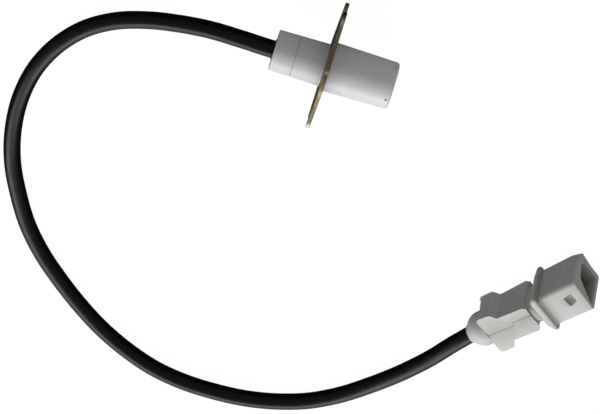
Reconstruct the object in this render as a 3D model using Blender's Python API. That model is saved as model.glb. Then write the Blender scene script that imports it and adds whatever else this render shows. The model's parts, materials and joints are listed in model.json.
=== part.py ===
"""Flame sensor probe: photocell head with a swivelling flange, a short lead and a two-way plug.

The head lies along +X with its sensing end forward and stands on the long edge of its flange,
so the floor is z = 0 and the probe axis is half a flange width above it.
The lead leaves the head's rear, lies on the floor in one open loop and ends in the plug.
"""
import math

import bmesh
import bpy
from mathutils import Matrix, Vector

MM = 0.001
GAP = 0.3                      # mm, clearance between neighbouring pieces

# ---------------------------------------------------------------- driving dimensions, mm
HEAD_LENGTH = 36.0             # front rim to rear face
FLANGE_FACE_X = -1.2           # the flange's front face, measured from the head's middle
BARREL_R = 7.0                 # sensing end, fits a 14 mm sight tube
REAR_R = 6.07                  # rear body and cap
CAP_LENGTH = 6.4
CORE_BORE_R = 3.2              # passage for the two cores

FLANGE_LENGTH = 44.0
FLANGE_WIDTH = 24.0
FLANGE_THICK = 1.2
FLANGE_END_R = 4.6
FLANGE_HOLE_R = 5.35
SLOT_WIDTH = 4.5
SLOT_CENTRE_Y = 17.0           # the two fixing screws stand 34 mm apart
SPIGOT_R = 5.0                 # front barrel's tail, passes through the flange

CORD_DIAMETER = 5.3
CORE_R = 0.75
LEAD_R = 0.3

PLUG_FACE_XY = (93.15, -48.95)  # middle of the plug's open face, seen from above
PLUG_HEADING = math.radians(52.0)
PLUG_PITCH = math.radians(2.0)    # nose up
BLOCK_LENGTH = 13.4            # open face to collar
BLOCK_WIDTH = 11.4
BLOCK_HEIGHT = 15.0
BLOCK_DROP = 0.7               # how much lower the block's underside is at the open face
BLOCK_RISE = 0.1               # how much higher its top is there
COLLAR_OVERHANG = 1.0
COLLAR_THICK = 1.0
COLLAR_SLOPE = (2.0, 1.5)       # the collar's rear falls away: length, drop
SHELL_FRONT_X = -19.2
SHELL_REAR_X = -36.0
SHELL_WIDTH = 9.2
SHELL_HEIGHT = 13.3            # at its front
SHELL_TAPER = 0.085            # loss of half height per millimetre towards the lead
LUG_HALF_WIDTH = 7.0
SLEEVE_END_X = -43.2
SLEEVE_R = 5.5

AXIS_Z = FLANGE_WIDTH / 2
FRONT_X = HEAD_LENGTH / 2
REAR_X = -HEAD_LENGTH / 2
FLANGE_REAR_X = FLANGE_FACE_X - FLANGE_THICK
SHOULDER_X = FLANGE_FACE_X + GAP
BODY_FRONT_X = FLANGE_REAR_X - GAP
CAP_FRONT_X = REAR_X + CAP_LENGTH
BODY_REAR_X = CAP_FRONT_X + GAP
CORD_R = CORD_DIAMETER / 2
CORD_BORE_R = CORD_R + GAP
COLLAR_REAR_X = -BLOCK_LENGTH - COLLAR_THICK
COLLAR_HALF_HEIGHT = BLOCK_HEIGHT / 2 + COLLAR_OVERHANG
# the plug lies on its collar's rear edge, its rear held clear of the floor by the lead
PLUG_AXIS_Z = (COLLAR_HALF_HEIGHT * math.cos(PLUG_PITCH)
               - COLLAR_REAR_X * math.sin(PLUG_PITCH))

# the lead's route, metres: rear of the head, down to the floor, round the loop, up into the plug
CORD_ROUTE = [
    (-0.0164, 0.0000, 0.0120),
    (-0.0210, 0.0000, 0.0120),
    (-0.0277, -0.0002, 0.0115),
    (-0.0371, -0.0017, 0.0094),
    (-0.0465, -0.0045, 0.0070),
    (-0.0558, -0.0082, 0.0047),
    (-0.0649, -0.0129, 0.0032),
    (-0.0731, -0.0193, 0.0027),
    (-0.0797, -0.0280, 0.0027),
    (-0.0842, -0.0386, 0.0027),
    (-0.0862, -0.0504, 0.0027),
    (-0.0859, -0.0626, 0.0027),
    (-0.0836, -0.0745, 0.0027),
    (-0.0794, -0.0857, 0.0027),
    (-0.0742, -0.0962, 0.0027),
    (-0.0675, -0.1056, 0.0027),
    (-0.0598, -0.1138, 0.0027),
    (-0.0516, -0.1213, 0.0027),
    (-0.0428, -0.1280, 0.0027),
    (-0.0335, -0.1333, 0.0027),
    (-0.0236, -0.1373, 0.0027),
    (-0.0134, -0.1392, 0.0027),
    (-0.0031, -0.1394, 0.0027),
    (0.0072, -0.1384, 0.0027),
    (0.0172, -0.1358, 0.0027),
    (0.0268, -0.1316, 0.0027),
    (0.0357, -0.1251, 0.0030),
    (0.0436, -0.1169, 0.0038),
    (0.0498, -0.1093, 0.0048),
    (0.0544, -0.1029, 0.0056),
    (0.0580, -0.0974, 0.0062),
    (0.06082, -0.09240, 0.00674),
    (0.06280, -0.08895, 0.00706),
    (0.06474, -0.08584, 0.00731),
    (0.06657, -0.08297, 0.00749),
    (0.06805, -0.08108, 0.00757),
    (0.06946, -0.07927, 0.00765),
]
CORD_STEP = 0.0125             # metres between the tube's points


# ---------------------------------------------------------------- making and placing objects
def clear_scene():
    for obj in list(bpy.data.objects):
        bpy.data.objects.remove(obj, do_unlink=True)


def finish_material(name, colour, roughness, metallic=0.0, alpha=1.0):
    mat = bpy.data.materials.new(name)
    mat.use_nodes = True
    shader = mat.node_tree.nodes["Principled BSDF"]
    shader.inputs["Base Color"].default_value = (*colour, 1.0)
    shader.inputs["Roughness"].default_value = roughness
    shader.inputs["Metallic"].default_value = metallic
    shader.inputs["Alpha"].default_value = alpha
    return mat


def empty(name, location, pitch=0.0, heading=0.0):
    obj = bpy.data.objects.new(name, None)
    obj.location = Vector(location) * MM
    obj.rotation_euler = (0.0, -pitch, heading)
    bpy.context.scene.collection.objects.link(obj)
    return obj


def add_object(name, bm, parent, look, round_piece=False):
    """Turn a bmesh drawn in millimetres into an object in metres under its parent."""
    bmesh.ops.recalc_face_normals(bm, faces=bm.faces)
    bmesh.ops.scale(bm, vec=(MM, MM, MM), verts=bm.verts)
    mesh = bpy.data.meshes.new(name)
    bm.to_mesh(mesh)
    bm.free()
    if round_piece:
        mesh.shade_smooth()
        mesh.set_sharp_from_angle(angle=math.radians(35))
    obj = bpy.data.objects.new(name, mesh)
    bpy.context.scene.collection.objects.link(obj)
    obj.parent = parent
    if look:
        mesh.materials.append(finish_material(name, *look))
    return obj


def cut(target, cutter):
    """Subtract the cutter from the target and hide the cutter."""
    cutter.hide_render = True
    cutter.display_type = "WIRE"
    modifier = target.modifiers.new("cut " + cutter.name, "BOOLEAN")
    modifier.operation = "DIFFERENCE"
    modifier.solver = "EXACT"
    modifier.object = cutter


# ---------------------------------------------------------------- shapes, mm
def turned(profile, segments=48):
    """Solid of revolution about X from a closed outline of (x, radius) points."""
    bm = bmesh.new()
    rings = []
    for x, radius in profile:
        if radius == 0.0:
            rings.append([bm.verts.new((x, 0.0, 0.0))])
            continue
        ring = []
        for i in range(segments):
            a = 2 * math.pi * i / segments
            ring.append(bm.verts.new((x, radius * math.cos(a), radius * math.sin(a))))
        rings.append(ring)
    for ring_a, ring_b in zip(rings, rings[1:] + rings[:1]):
        if len(ring_a) == 1 and len(ring_b) == 1:
            continue
        for i in range(segments):
            j = (i + 1) % segments
            if len(ring_a) == 1:
                bm.faces.new((ring_a[0], ring_b[i], ring_b[j]))
            elif len(ring_b) == 1:
                bm.faces.new((ring_a[i], ring_b[0], ring_a[j]))
            else:
                bm.faces.new((ring_a[i], ring_b[i], ring_b[j], ring_a[j]))
    return bm


def tube_profile(x0, x1, inner, outer):
    return [(x0, inner), (x0, outer), (x1, outer), (x1, inner)]


def prism(outline, low, high, axis="z"):
    """Extrude a closed outline between two levels along z, x or y."""
    place = {
        "z": lambda u, v, w: (u, v, w),
        "x": lambda u, v, w: (w, u, v),
        "y": lambda u, v, w: (u, w, v),
    }[axis]
    bm = bmesh.new()
    bottom = [bm.verts.new(place(u, v, low)) for u, v in outline]
    top = [bm.verts.new(place(u, v, high)) for u, v in outline]
    bm.faces.new(bottom)
    bm.faces.new(top)
    for i in range(len(outline)):
        j = (i + 1) % len(outline)
        bm.faces.new((bottom[i], bottom[j], top[j], top[i]))
    return bm


def box(low, high):
    outline = [(low[0], low[1]), (high[0], low[1]), (high[0], high[1]), (low[0], high[1])]
    return prism(outline, low[2], high[2])


def arc(centre, radius, start, end, steps):
    points = []
    for i in range(steps + 1):
        a = math.radians(start + (end - start) * i / steps)
        points.append((centre[0] + radius * math.cos(a), centre[1] + radius * math.sin(a)))
    return points


def rounded_rectangle(half_u, half_v, radius, steps=4):
    points = []
    corners = ((1, 1, 0), (-1, 1, 90), (-1, -1, 180), (1, -1, 270))
    for su, sv, start in corners:
        centre = (su * (half_u - radius), sv * (half_v - radius))
        points += arc(centre, radius, start, start + 90, steps)
    return points


def stacked(sections, axis_points):
    """Loft equal-count outlines in (y, z) placed at the given x stations into one closed body."""
    bm = bmesh.new()
    loops = []
    for outline, x in zip(sections, axis_points):
        loops.append([bm.verts.new((x, y, z)) for y, z in outline])
    count = len(loops[0])
    for a, b in zip(loops, loops[1:]):
        for i in range(count):
            j = (i + 1) % count
            bm.faces.new((a[i], a[j], b[j], b[i]))
    bm.faces.new(loops[0])
    bm.faces.new(loops[-1])
    return bm


def rod(start, end, radius, sides=10):
    """Straight round bar between two points."""
    start = Vector(start)
    end = Vector(end)
    length = (end - start).length
    bm = bmesh.new()
    bmesh.ops.create_cone(bm, cap_ends=True, segments=sides, radius1=radius, radius2=radius,
                          depth=length)
    turn = (end - start).to_track_quat("Z", "Y").to_matrix().to_4x4()
    bmesh.ops.transform(bm, matrix=Matrix.Translation((start + end) / 2) @ turn, verts=bm.verts)
    return bm


# ---------------------------------------------------------------- colours: rgb, roughness, metallic
WHITE_PLASTIC = ((0.80, 0.80, 0.81), 0.45)
PLUG_PLASTIC = ((0.70, 0.71, 0.68), 0.5)
YELLOW_ZINC = ((0.42, 0.38, 0.16), 0.32, 1.0)
CLEAR_WINDOW = ((0.85, 0.90, 0.92), 0.06, 0.0, 0.35)
BLACK_RUBBER = ((0.02, 0.02, 0.02), 0.7)
BLACK_SHEATH = ((0.015, 0.016, 0.018), 0.4)
GREY_PLASTIC = ((0.30, 0.31, 0.32), 0.5)
CELL_COLOUR = ((0.45, 0.22, 0.10), 0.4)
TINNED = ((0.75, 0.75, 0.74), 0.25, 1.0)
BRASS = ((0.80, 0.62, 0.30), 0.28, 1.0)
BROWN_CORE = ((0.18, 0.07, 0.03), 0.5)
BLUE_CORE = ((0.03, 0.10, 0.40), 0.5)


# ---------------------------------------------------------------- head, outer pieces
SEAT_X = 12.6                  # bottom of the window's counterbore
COUNTERBORE_R = 6.0
CELL_BORE_R = 4.6
CELL_BORE_X = 2.0
SPIGOT_END_X = -8.0
GROOVE_X = (-6.2, -4.9)        # groove for the body seal in the front barrel's tail
GROOVE_R = 4.2
RIM_ROUND = 0.8
SNAP_HOLE_R = 0.42             # four holes behind the front rim, where the window's ring snaps in
SNAP_HOLE_X = 16.7
SNAP_HOLE_TURN = 5             # degrees from +Y to the first one
KEY_LENGTH = 5.0
KEY_HEIGHT = 0.3
KEY_TURN = math.radians(38)


def front_barrel(axis):
    """Sensing end with the counterbore for the window and a grooved tail for the rear body."""
    edge = arc((FRONT_X - RIM_ROUND, BARREL_R - RIM_ROUND), RIM_ROUND, 90, 0, 4)
    profile = [
        (FRONT_X, COUNTERBORE_R), (SEAT_X, COUNTERBORE_R), (SEAT_X, CELL_BORE_R),
        (CELL_BORE_X, CELL_BORE_R), (CELL_BORE_X, CORE_BORE_R), (SPIGOT_END_X, CORE_BORE_R),
        (SPIGOT_END_X, SPIGOT_R), (GROOVE_X[0], SPIGOT_R), (GROOVE_X[0], GROOVE_R),
        (GROOVE_X[1], GROOVE_R), (GROOVE_X[1], SPIGOT_R), (SHOULDER_X, SPIGOT_R),
        (SHOULDER_X, BARREL_R),
    ] + edge
    barrel = add_object("front_barrel", turned(profile, 64), axis, WHITE_PLASTIC, True)
    key = box((SHOULDER_X + 0.2, -1.3, BARREL_R - 1.0),
              (SHOULDER_X + 0.2 + KEY_LENGTH, 1.3, BARREL_R + KEY_HEIGHT))
    turn = Matrix.Rotation(KEY_TURN, 4, "X")
    bmesh.ops.transform(key, matrix=turn, verts=key.verts)
    rib = add_object("front_barrel_key", key, axis, None)
    rib.hide_render = True
    rib.display_type = "WIRE"
    modifier = barrel.modifiers.new("locating key", "BOOLEAN")
    modifier.operation = "UNION"
    modifier.solver = "EXACT"
    modifier.object = rib
    for k in range(4):
        a = math.radians(SNAP_HOLE_TURN + 90 * k)
        inner = (SNAP_HOLE_X, 5.9 * math.cos(a), 5.9 * math.sin(a))
        outer = (SNAP_HOLE_X, 8.0 * math.cos(a), 8.0 * math.sin(a))
        hole = rod(inner, outer, SNAP_HOLE_R, 12)
        cut(barrel, add_object(f"front_barrel_hole_{k}", hole, axis, None))


def rear_body(axis):
    bore = SPIGOT_R + GAP
    profile = tube_profile(BODY_REAR_X, BODY_FRONT_X, bore, REAR_R)
    add_object("rear_body", turned(profile, 64), axis, WHITE_PLASTIC, True)


CAP_CAVITY_R = 4.2
CAP_WALL_X = -16.2
CAP_SPIGOT_X = -8.5
CAP_ROUND = 0.6
GLAND_SEAT_R = 5.0
GLAND_SEAT_X = REAR_X + 1.0
GLAND_PROUD = 0.4


def rear_cap(axis):
    """Cap that closes the rear body, with the rubber gland in its end round the lead."""
    edge = arc((REAR_X + CAP_ROUND, REAR_R - CAP_ROUND), CAP_ROUND, 180, 90, 3)
    profile = [
        (CAP_WALL_X, CORD_BORE_R), (GLAND_SEAT_X, CORD_BORE_R), (GLAND_SEAT_X, GLAND_SEAT_R),
        (REAR_X, GLAND_SEAT_R),
    ] + edge + [
        (CAP_FRONT_X, REAR_R), (CAP_FRONT_X, SPIGOT_R), (CAP_SPIGOT_X, SPIGOT_R),
        (CAP_SPIGOT_X, CAP_CAVITY_R), (CAP_WALL_X, CAP_CAVITY_R),
    ]
    add_object("rear_cap", turned(profile, 64), axis, WHITE_PLASTIC, True)
    rim_r = GLAND_SEAT_R - GAP
    gland = tube_profile(REAR_X - GLAND_PROUD, GLAND_SEAT_X - GAP, CORD_BORE_R, rim_r)
    add_object("cord_gland", turned(gland, 40), axis, BLACK_RUBBER, True)


def flange_outline():
    """Two-bolt flange: a middle circle, two end circles and the lines that touch both."""
    half_length = FLANGE_LENGTH / 2
    end_y = half_length - FLANGE_END_R
    middle_r = FLANGE_WIDTH / 2
    lean = math.degrees(math.acos((middle_r - FLANGE_END_R) / end_y))
    slot = SLOT_WIDTH / 2
    tip = math.degrees(math.asin(slot / FLANGE_END_R))
    right = arc((end_y, 0.0), FLANGE_END_R, -lean, -tip, 6)
    right += [(SLOT_CENTRE_Y, -slot)]
    right += arc((SLOT_CENTRE_Y, 0.0), slot, 270, 90, 8)[1:-1]
    right += [(SLOT_CENTRE_Y, slot)]
    right += arc((end_y, 0.0), FLANGE_END_R, tip, lean, 6)
    top = arc((0.0, 0.0), middle_r, lean, 180 - lean, 10)[1:-1]
    left = [(-y, -z) for y, z in right]
    bottom = [(-y, -z) for y, z in top]
    return right + top + left + bottom


def flange_plate(swivel):
    plate = prism(flange_outline(), FLANGE_REAR_X - FLANGE_FACE_X, 0.0, "x")
    obj = add_object("flange_plate", plate, swivel, YELLOW_ZINC)
    hole = turned([(-3.0, 0.0), (-3.0, FLANGE_HOLE_R), (2.0, FLANGE_HOLE_R), (2.0, 0.0)], 48)
    cut(obj, add_object("flange_plate_hole", hole, swivel, None))


# ---------------------------------------------------------------- head, inner pieces
WINDOW_X = 14.3
WINDOW_RIM = 1.4
WINDOW_R = 5.7
DOME_R = 4.1
DOME_HEIGHT = 1.0
WINDOW_SEAL_R = 0.55           # half thickness of the ring
BODY_SEAL_R = 0.42


def seal_ring(x, radius, half_thickness):
    return [(x + u, radius + v) for u, v in arc((0, 0), half_thickness, 0, 315, 7)]


def window_and_seals(axis):
    ring = seal_ring(SEAT_X + GAP + WINDOW_SEAL_R, 5.0, WINDOW_SEAL_R)
    add_object("window_seal", turned(ring, 32), axis, BLACK_RUBBER, True)
    face_x = WINDOW_X + WINDOW_RIM
    dome = [(face_x + DOME_HEIGHT * math.cos(a), DOME_R * math.sin(a))
            for a in (math.radians(d) for d in (72, 54, 36, 18))]
    lens = [(WINDOW_X, 0.0), (WINDOW_X, WINDOW_R), (face_x, WINDOW_R), (face_x, DOME_R)] + dome
    lens += [(face_x + DOME_HEIGHT, 0.0)]
    add_object("sensor_window", turned(lens, 40), axis, CLEAR_WINDOW, True)
    bezel_x = face_x + GAP
    bezel_front = FRONT_X - GAP
    bezel = [(bezel_x, DOME_R + GAP), (bezel_x, WINDOW_R), (bezel_front, WINDOW_R),
             (bezel_front, DOME_R + 3 * GAP), (bezel_front - 2 * GAP, DOME_R + GAP)]
    add_object("window_bezel", turned(bezel, 48), axis, WHITE_PLASTIC, True)
    ring = seal_ring(sum(GROOVE_X) / 2, (GROOVE_R + SPIGOT_R + GAP) / 2, BODY_SEAL_R)
    add_object("body_seal", turned(ring, 32), axis, BLACK_RUBBER, True)


LEAD_OFFSET = 1.3
HOLDER_X = (3.0, 10.0)
HOLDER_R = 4.3
CELL_X = (10.3, 11.3, 12.3)    # back, step and front of the cell's can
CELL_R = (2.6, 2.3)
SPLICE_X = (-3.0, 0.0)


def photocell(axis):
    disc = [(CELL_X[0], 0.0), (CELL_X[0], CELL_R[0]), (CELL_X[1], CELL_R[0]),
            (CELL_X[1], CELL_R[1]), (CELL_X[2], CELL_R[1]), (CELL_X[2], 0.0)]
    add_object("photocell", turned(disc, 24), axis, CELL_COLOUR, True)
    holder = add_object("cell_holder", turned(
        [(HOLDER_X[0], 0.0), (HOLDER_X[0], HOLDER_R), (HOLDER_X[1], HOLDER_R),
         (HOLDER_X[1], 0.0)], 32), axis, GREY_PLASTIC, True)
    for name, side in (("a", 1), ("b", -1)):
        y = side * LEAD_OFFSET
        lead = rod((HOLDER_X[1], y, 0.0), (SPLICE_X[1] + GAP, y, 0.0), LEAD_R)
        add_object("cell_lead_" + name, lead, axis, TINNED, True)
        hole = rod((HOLDER_X[1] + 1, y, 0.0), (HOLDER_X[0] - 1, y, 0.0), LEAD_R + GAP, 12)
        cut(holder, add_object("cell_holder_hole_" + name, hole, axis, None))


ANCHOR_X = (-15.9, -12.9)
ANCHOR_R = 3.9
CORE_OFFSET = 1.6
SPLICE_R = 1.0


def head_wiring(axis):
    """Crimped splices, the two cores and the moulded anchor that grips the sheath."""
    anchor = add_object("cord_anchor", turned(
        [(ANCHOR_X[0], 0.0), (ANCHOR_X[0], ANCHOR_R), (ANCHOR_X[1], ANCHOR_R),
         (ANCHOR_X[1], 0.0)], 32), axis, BLACK_RUBBER, True)
    for name, side, colour in (("brown", 1, BROWN_CORE), ("blue", -1, BLUE_CORE)):
        y = side * CORE_OFFSET
        splice = rod((SPLICE_X[1], y, 0.0), (SPLICE_X[0], y, 0.0), SPLICE_R, 12)
        add_object("splice_" + name, splice, axis, TINNED, True)
        core = rod((SPLICE_X[0] - GAP, y, 0.0), (ANCHOR_X[0] + 0.4, y, 0.0), CORE_R)
        add_object("head_core_" + name, core, axis, colour, True)
        hole = rod((ANCHOR_X[1] + 1, y, 0.0), (ANCHOR_X[0] - 1, y, 0.0), CORE_R + GAP, 12)
        cut(anchor, add_object("cord_anchor_hole_" + name, hole, axis, None))


# ---------------------------------------------------------------- the lead
def smooth_route(points, step):
    """Even steps along a Catmull-Rom curve through the route's points."""
    ends = [points[0] * 2 - points[1]] + points + [points[-1] * 2 - points[-2]]
    fine = []
    for a, b, c, d in zip(ends, ends[1:], ends[2:], ends[3:]):
        for i in range(20):
            t = i / 20
            fine.append(0.5 * (2 * b + (c - a) * t + (2 * a - 5 * b + 4 * c - d) * t ** 2
                               + (3 * b - 3 * c + d - a) * t ** 3))
    fine.append(points[-1])
    reach = [0.0]
    for a, b in zip(fine, fine[1:]):
        reach.append(reach[-1] + (b - a).length)
    count = round(reach[-1] / step)
    even = []
    k = 0
    for i in range(count + 1):
        target = reach[-1] * i / count
        while k < len(fine) - 2 and reach[k + 1] < target:
            k += 1
        share = (target - reach[k]) / (reach[k + 1] - reach[k])
        even.append(fine[k].lerp(fine[k + 1], min(1.0, share)))
    return even


def cord_sheath():
    points = smooth_route([Vector(p) for p in CORD_ROUTE], CORD_STEP)
    curve = bpy.data.curves.new("cord_sheath", "CURVE")
    curve.dimensions = "3D"
    curve.bevel_depth = CORD_R * MM
    curve.bevel_resolution = 3
    curve.use_fill_caps = True
    spline = curve.splines.new("POLY")
    spline.points.add(len(points) - 1)
    for target, point in zip(spline.points, points):
        target.co = (*point, 1.0)
    curve.materials.append(finish_material("cord_sheath", *BLACK_SHEATH))
    obj = bpy.data.objects.new("cord_sheath", curve)
    bpy.context.scene.collection.objects.link(obj)


# ---------------------------------------------------------------- plug, +X out of its open face
MOUTH_DEPTH = 11.4
FLOOR_WALL = 1.5
SWEEP_LENGTH = 1.3             # the block's top sweeps up to the collar's edge over this length
EDGE_R = 1.0
FACE_BEVEL = 0.35
NECK_HALF = (2.7, 4.7)
NECK_EDGE_R = 1.5
NECK_END_X = -24.0
POCKET_HALF = (1.8, 3.8)
TAB_Z = (-2.2, 2.2)
TAB_HALF = (1.2, 0.4)
WINDOW_HALF = 1.6
WINDOW_CENTRE = (-4.4, 0.8)
WINDOW_FLOOR_Z = 6.0
DIMPLE_X = (-5.0, -1.4)
DIMPLE_Z = (-4.2, 0.6)
DIMPLE_DEPTH = 0.3


def mouth_outline():
    """The mouth in (y, z): its upper near corner is cut off so that the plug goes in one way only."""
    return [(3.3, -6.0), (2.75, 2.3), (-2.1, 5.9), (-4.4, 5.9), (-4.4, -6.0)]


def block_outline(inset, drop, rise):
    """Rounded block section whose underside is lower by drop and whose top is higher by rise."""
    outline = rounded_rectangle(BLOCK_WIDTH / 2 - inset, BLOCK_HEIGHT / 2 - inset, EDGE_R, 2)
    return [(y, z - drop if z < 0 else z + rise) for y, z in outline]


def plug_housing(frame):
    """Open block with a latch window, the collar behind it and the neck that the shells grip."""
    collar = rounded_rectangle(BLOCK_WIDTH / 2 + COLLAR_OVERHANG, COLLAR_HALF_HEIGHT, EDGE_R, 2)
    neck = rounded_rectangle(*NECK_HALF, NECK_EDGE_R, 2)
    sections = [block_outline(FACE_BEVEL, BLOCK_DROP, BLOCK_RISE),
                block_outline(0.0, BLOCK_DROP, BLOCK_RISE)]
    stations = [0.0, -FACE_BEVEL]
    for degrees in (0, 30, 50, 65, 80):
        along = math.sin(math.radians(degrees))
        up = 1 - math.cos(math.radians(degrees))
        x = -BLOCK_LENGTH + SWEEP_LENGTH * (1 - along)
        drop = BLOCK_DROP * (1 + x / BLOCK_LENGTH)
        sections.append(block_outline(0.0, drop, COLLAR_OVERHANG * up))
        stations.append(x)
    slope_length, slope_drop = COLLAR_SLOPE
    skirt = rounded_rectangle(BLOCK_WIDTH / 2 + COLLAR_OVERHANG - slope_drop,
                              COLLAR_HALF_HEIGHT - slope_drop, EDGE_R, 2)
    skirt_x = COLLAR_REAR_X - slope_length
    sections += [block_outline(0.0, 0.0, COLLAR_OVERHANG - FACE_BEVEL), collar, collar, skirt, neck,
                 neck]
    stations += [-BLOCK_LENGTH, -BLOCK_LENGTH, COLLAR_REAR_X, skirt_x, skirt_x, NECK_END_X]
    housing = add_object("plug_housing", stacked(sections, stations), frame, PLUG_PLASTIC)
    mouth = prism(mouth_outline(), -MOUTH_DEPTH, 2.0, "x")
    cut(housing, add_object("plug_mouth_cut", mouth, frame, None))
    pocket = box((NECK_END_X - 1, -POCKET_HALF[0], -POCKET_HALF[1]),
                 (-MOUTH_DEPTH - FLOOR_WALL, POCKET_HALF[0], POCKET_HALF[1]))
    cut(housing, add_object("plug_pocket_cut", pocket, frame, None))
    x, y = WINDOW_CENTRE
    window = box((x - WINDOW_HALF, y - WINDOW_HALF, WINDOW_FLOOR_Z),
                 (x + WINDOW_HALF, y + WINDOW_HALF, BLOCK_HEIGHT))
    cut(housing, add_object("plug_window_cut", window, frame, None))
    dimple = box((DIMPLE_X[0], BLOCK_WIDTH / 2 - DIMPLE_DEPTH, DIMPLE_Z[0]),
                 (DIMPLE_X[1], BLOCK_WIDTH, DIMPLE_Z[1]))
    cut(housing, add_object("plug_dimple_cut", dimple, frame, None))
    for name, z in zip("ab", TAB_Z):
        hole = box((-MOUTH_DEPTH - FLOOR_WALL - 1, -TAB_HALF[0] - GAP, z - TAB_HALF[1] - GAP),
                   (-MOUTH_DEPTH + 1, TAB_HALF[0] + GAP, z + TAB_HALF[1] + GAP))
        cut(housing, add_object("plug_tab_hole_" + name, hole, frame, None))


TAB_TIP_X = -6.0
CRIMP_FRONT_X = -13.2
CRIMP_REAR_X = -20.0
CRIMP_HALF = (1.4, 1.2)


def plug_contacts(frame):
    """Blade contacts: a pointed tab through the floor of the mouth and a crimp barrel behind it."""
    for name, z in zip("ab", TAB_Z):
        wide = TAB_HALF[0]
        outline = [
            (TAB_TIP_X, -0.6), (TAB_TIP_X, 0.6), (TAB_TIP_X - 0.8, wide),
            (CRIMP_REAR_X + 1, wide), (CRIMP_REAR_X + 1, -wide), (TAB_TIP_X - 0.8, -wide),
        ]
        blade = prism(outline, z - TAB_HALF[1], z + TAB_HALF[1])
        contact = add_object("contact_" + name, blade, frame, BRASS)
        barrel = prism(rounded_rectangle(*CRIMP_HALF, 0.6, 2), CRIMP_REAR_X, CRIMP_FRONT_X, "x")
        bmesh.ops.translate(barrel, vec=(0.0, 0.0, z), verts=barrel.verts)
        crimp = add_object("contact_crimp_" + name, barrel, frame, None)
        crimp.hide_render = True
        crimp.display_type = "WIRE"
        join = contact.modifiers.new("crimp barrel", "BOOLEAN")
        join.operation = "UNION"
        join.solver = "EXACT"
        join.object = crimp


LOCK_X = (-23.0, -21.0)


def terminal_lock(frame):
    """Plate at the neck's mouth that keeps both contacts in their pocket."""
    plate = add_object("terminal_lock", box(
        (LOCK_X[0], -POCKET_HALF[0] + GAP, -POCKET_HALF[1] + GAP),
        (LOCK_X[1], POCKET_HALF[0] - GAP, POCKET_HALF[1] - GAP)), frame, GREY_PLASTIC)
    for name, z in zip("ab", TAB_Z):
        hole = rod((LOCK_X[0] - 1, 0.0, z), (LOCK_X[1] + 1, 0.0, z), CORE_R + GAP, 12)
        cut(plate, add_object("terminal_lock_hole_" + name, hole, frame, None))


CORD_END_X = -38.5
CORE_SPREAD = 1.2
CORE_JOIN_X = -33.0


def plug_cores(frame):
    """The two cores, from their crimps back to the sheath's end."""
    for name, z, colour in zip(("blue", "brown"), TAB_Z, (BLUE_CORE, BROWN_CORE)):
        near_sheath = math.copysign(CORE_SPREAD, z)
        points = [(CRIMP_REAR_X - GAP, z), (NECK_END_X - 1.0, z), (CORE_JOIN_X, near_sheath),
                  (CORD_END_X + GAP, near_sheath)]
        curve = bpy.data.curves.new("plug_core_" + name, "CURVE")
        curve.dimensions = "3D"
        curve.bevel_depth = CORE_R * MM
        curve.bevel_resolution = 2
        curve.use_fill_caps = True
        spline = curve.splines.new("POLY")
        spline.points.add(len(points) - 1)
        for target, (x, height) in zip(spline.points, points):
            target.co = (x * MM, 0.0, height * MM, 1.0)
        curve.materials.append(finish_material("plug_core_" + name, *colour))
        obj = bpy.data.objects.new("plug_core_" + name, curve)
        bpy.context.scene.collection.objects.link(obj)
        obj.parent = frame


BAND_X = (-18.7, -17.0)
BAND_HALF = (4.1, 6.0)
BAND_EDGE_R = 3.0


def neck_band(frame):
    """Oval ring that closes the joint between the collar and the shells."""
    band = add_object("neck_band", prism(rounded_rectangle(*BAND_HALF, BAND_EDGE_R, 5), *BAND_X, "x"),
                      frame, PLUG_PLASTIC)
    hole = prism(rounded_rectangle(NECK_HALF[0] + GAP, NECK_HALF[1] + GAP, NECK_EDGE_R, 2),
                 BAND_X[0] - 1, BAND_X[1] + 1, "x")
    cut(band, add_object("neck_band_hole", hole, frame, None))


SEAM_STEP_X = (-26.4, -25.2)
SEAM_REAR_Y = 0.4
SEAM_FRONT_Y = 1.25
SHELL_LIP = 0.6
SHELL_LIP_DEPTH = 0.5
LUG_X = (-29.8, -31.9, -34.9)  # where each grip lug starts, is full width and ends
LUG_TAPER = 0.9
CAVITY_REAR_X = -32.5
THROAT_FRONT_X = -32.0
SLEEVE_SPIGOT_R = 3.9
SLEEVE_COLLAR_R = 4.5
SLEEVE_COLLAR_X = (-35.2, -33.2)
DOME_LENGTH = 3.8


def shell_outline(side):
    """Half of the shell seen from above, from the stepped seam out to the grip lug."""
    half = SHELL_WIDTH / 2
    outer = [
        (SHELL_FRONT_X, side * (half - SHELL_LIP_DEPTH)),
        (SHELL_FRONT_X - SHELL_LIP, side * (half - SHELL_LIP_DEPTH)),
        (SHELL_FRONT_X - SHELL_LIP, side * half), (LUG_X[0], side * half),
        (LUG_X[1], side * (LUG_HALF_WIDTH - 0.1)), (LUG_X[2], side * LUG_HALF_WIDTH),
        (SHELL_REAR_X, side * (LUG_HALF_WIDTH - LUG_TAPER)),
    ]
    shift = side * GAP / 2
    seam = [
        (SHELL_REAR_X, SEAM_REAR_Y + shift), (SEAM_STEP_X[0] - shift, SEAM_REAR_Y + shift),
        (SEAM_STEP_X[1] - shift, SEAM_FRONT_Y + shift), (SHELL_FRONT_X, SEAM_FRONT_Y + shift),
    ]
    return outer + seam


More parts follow.
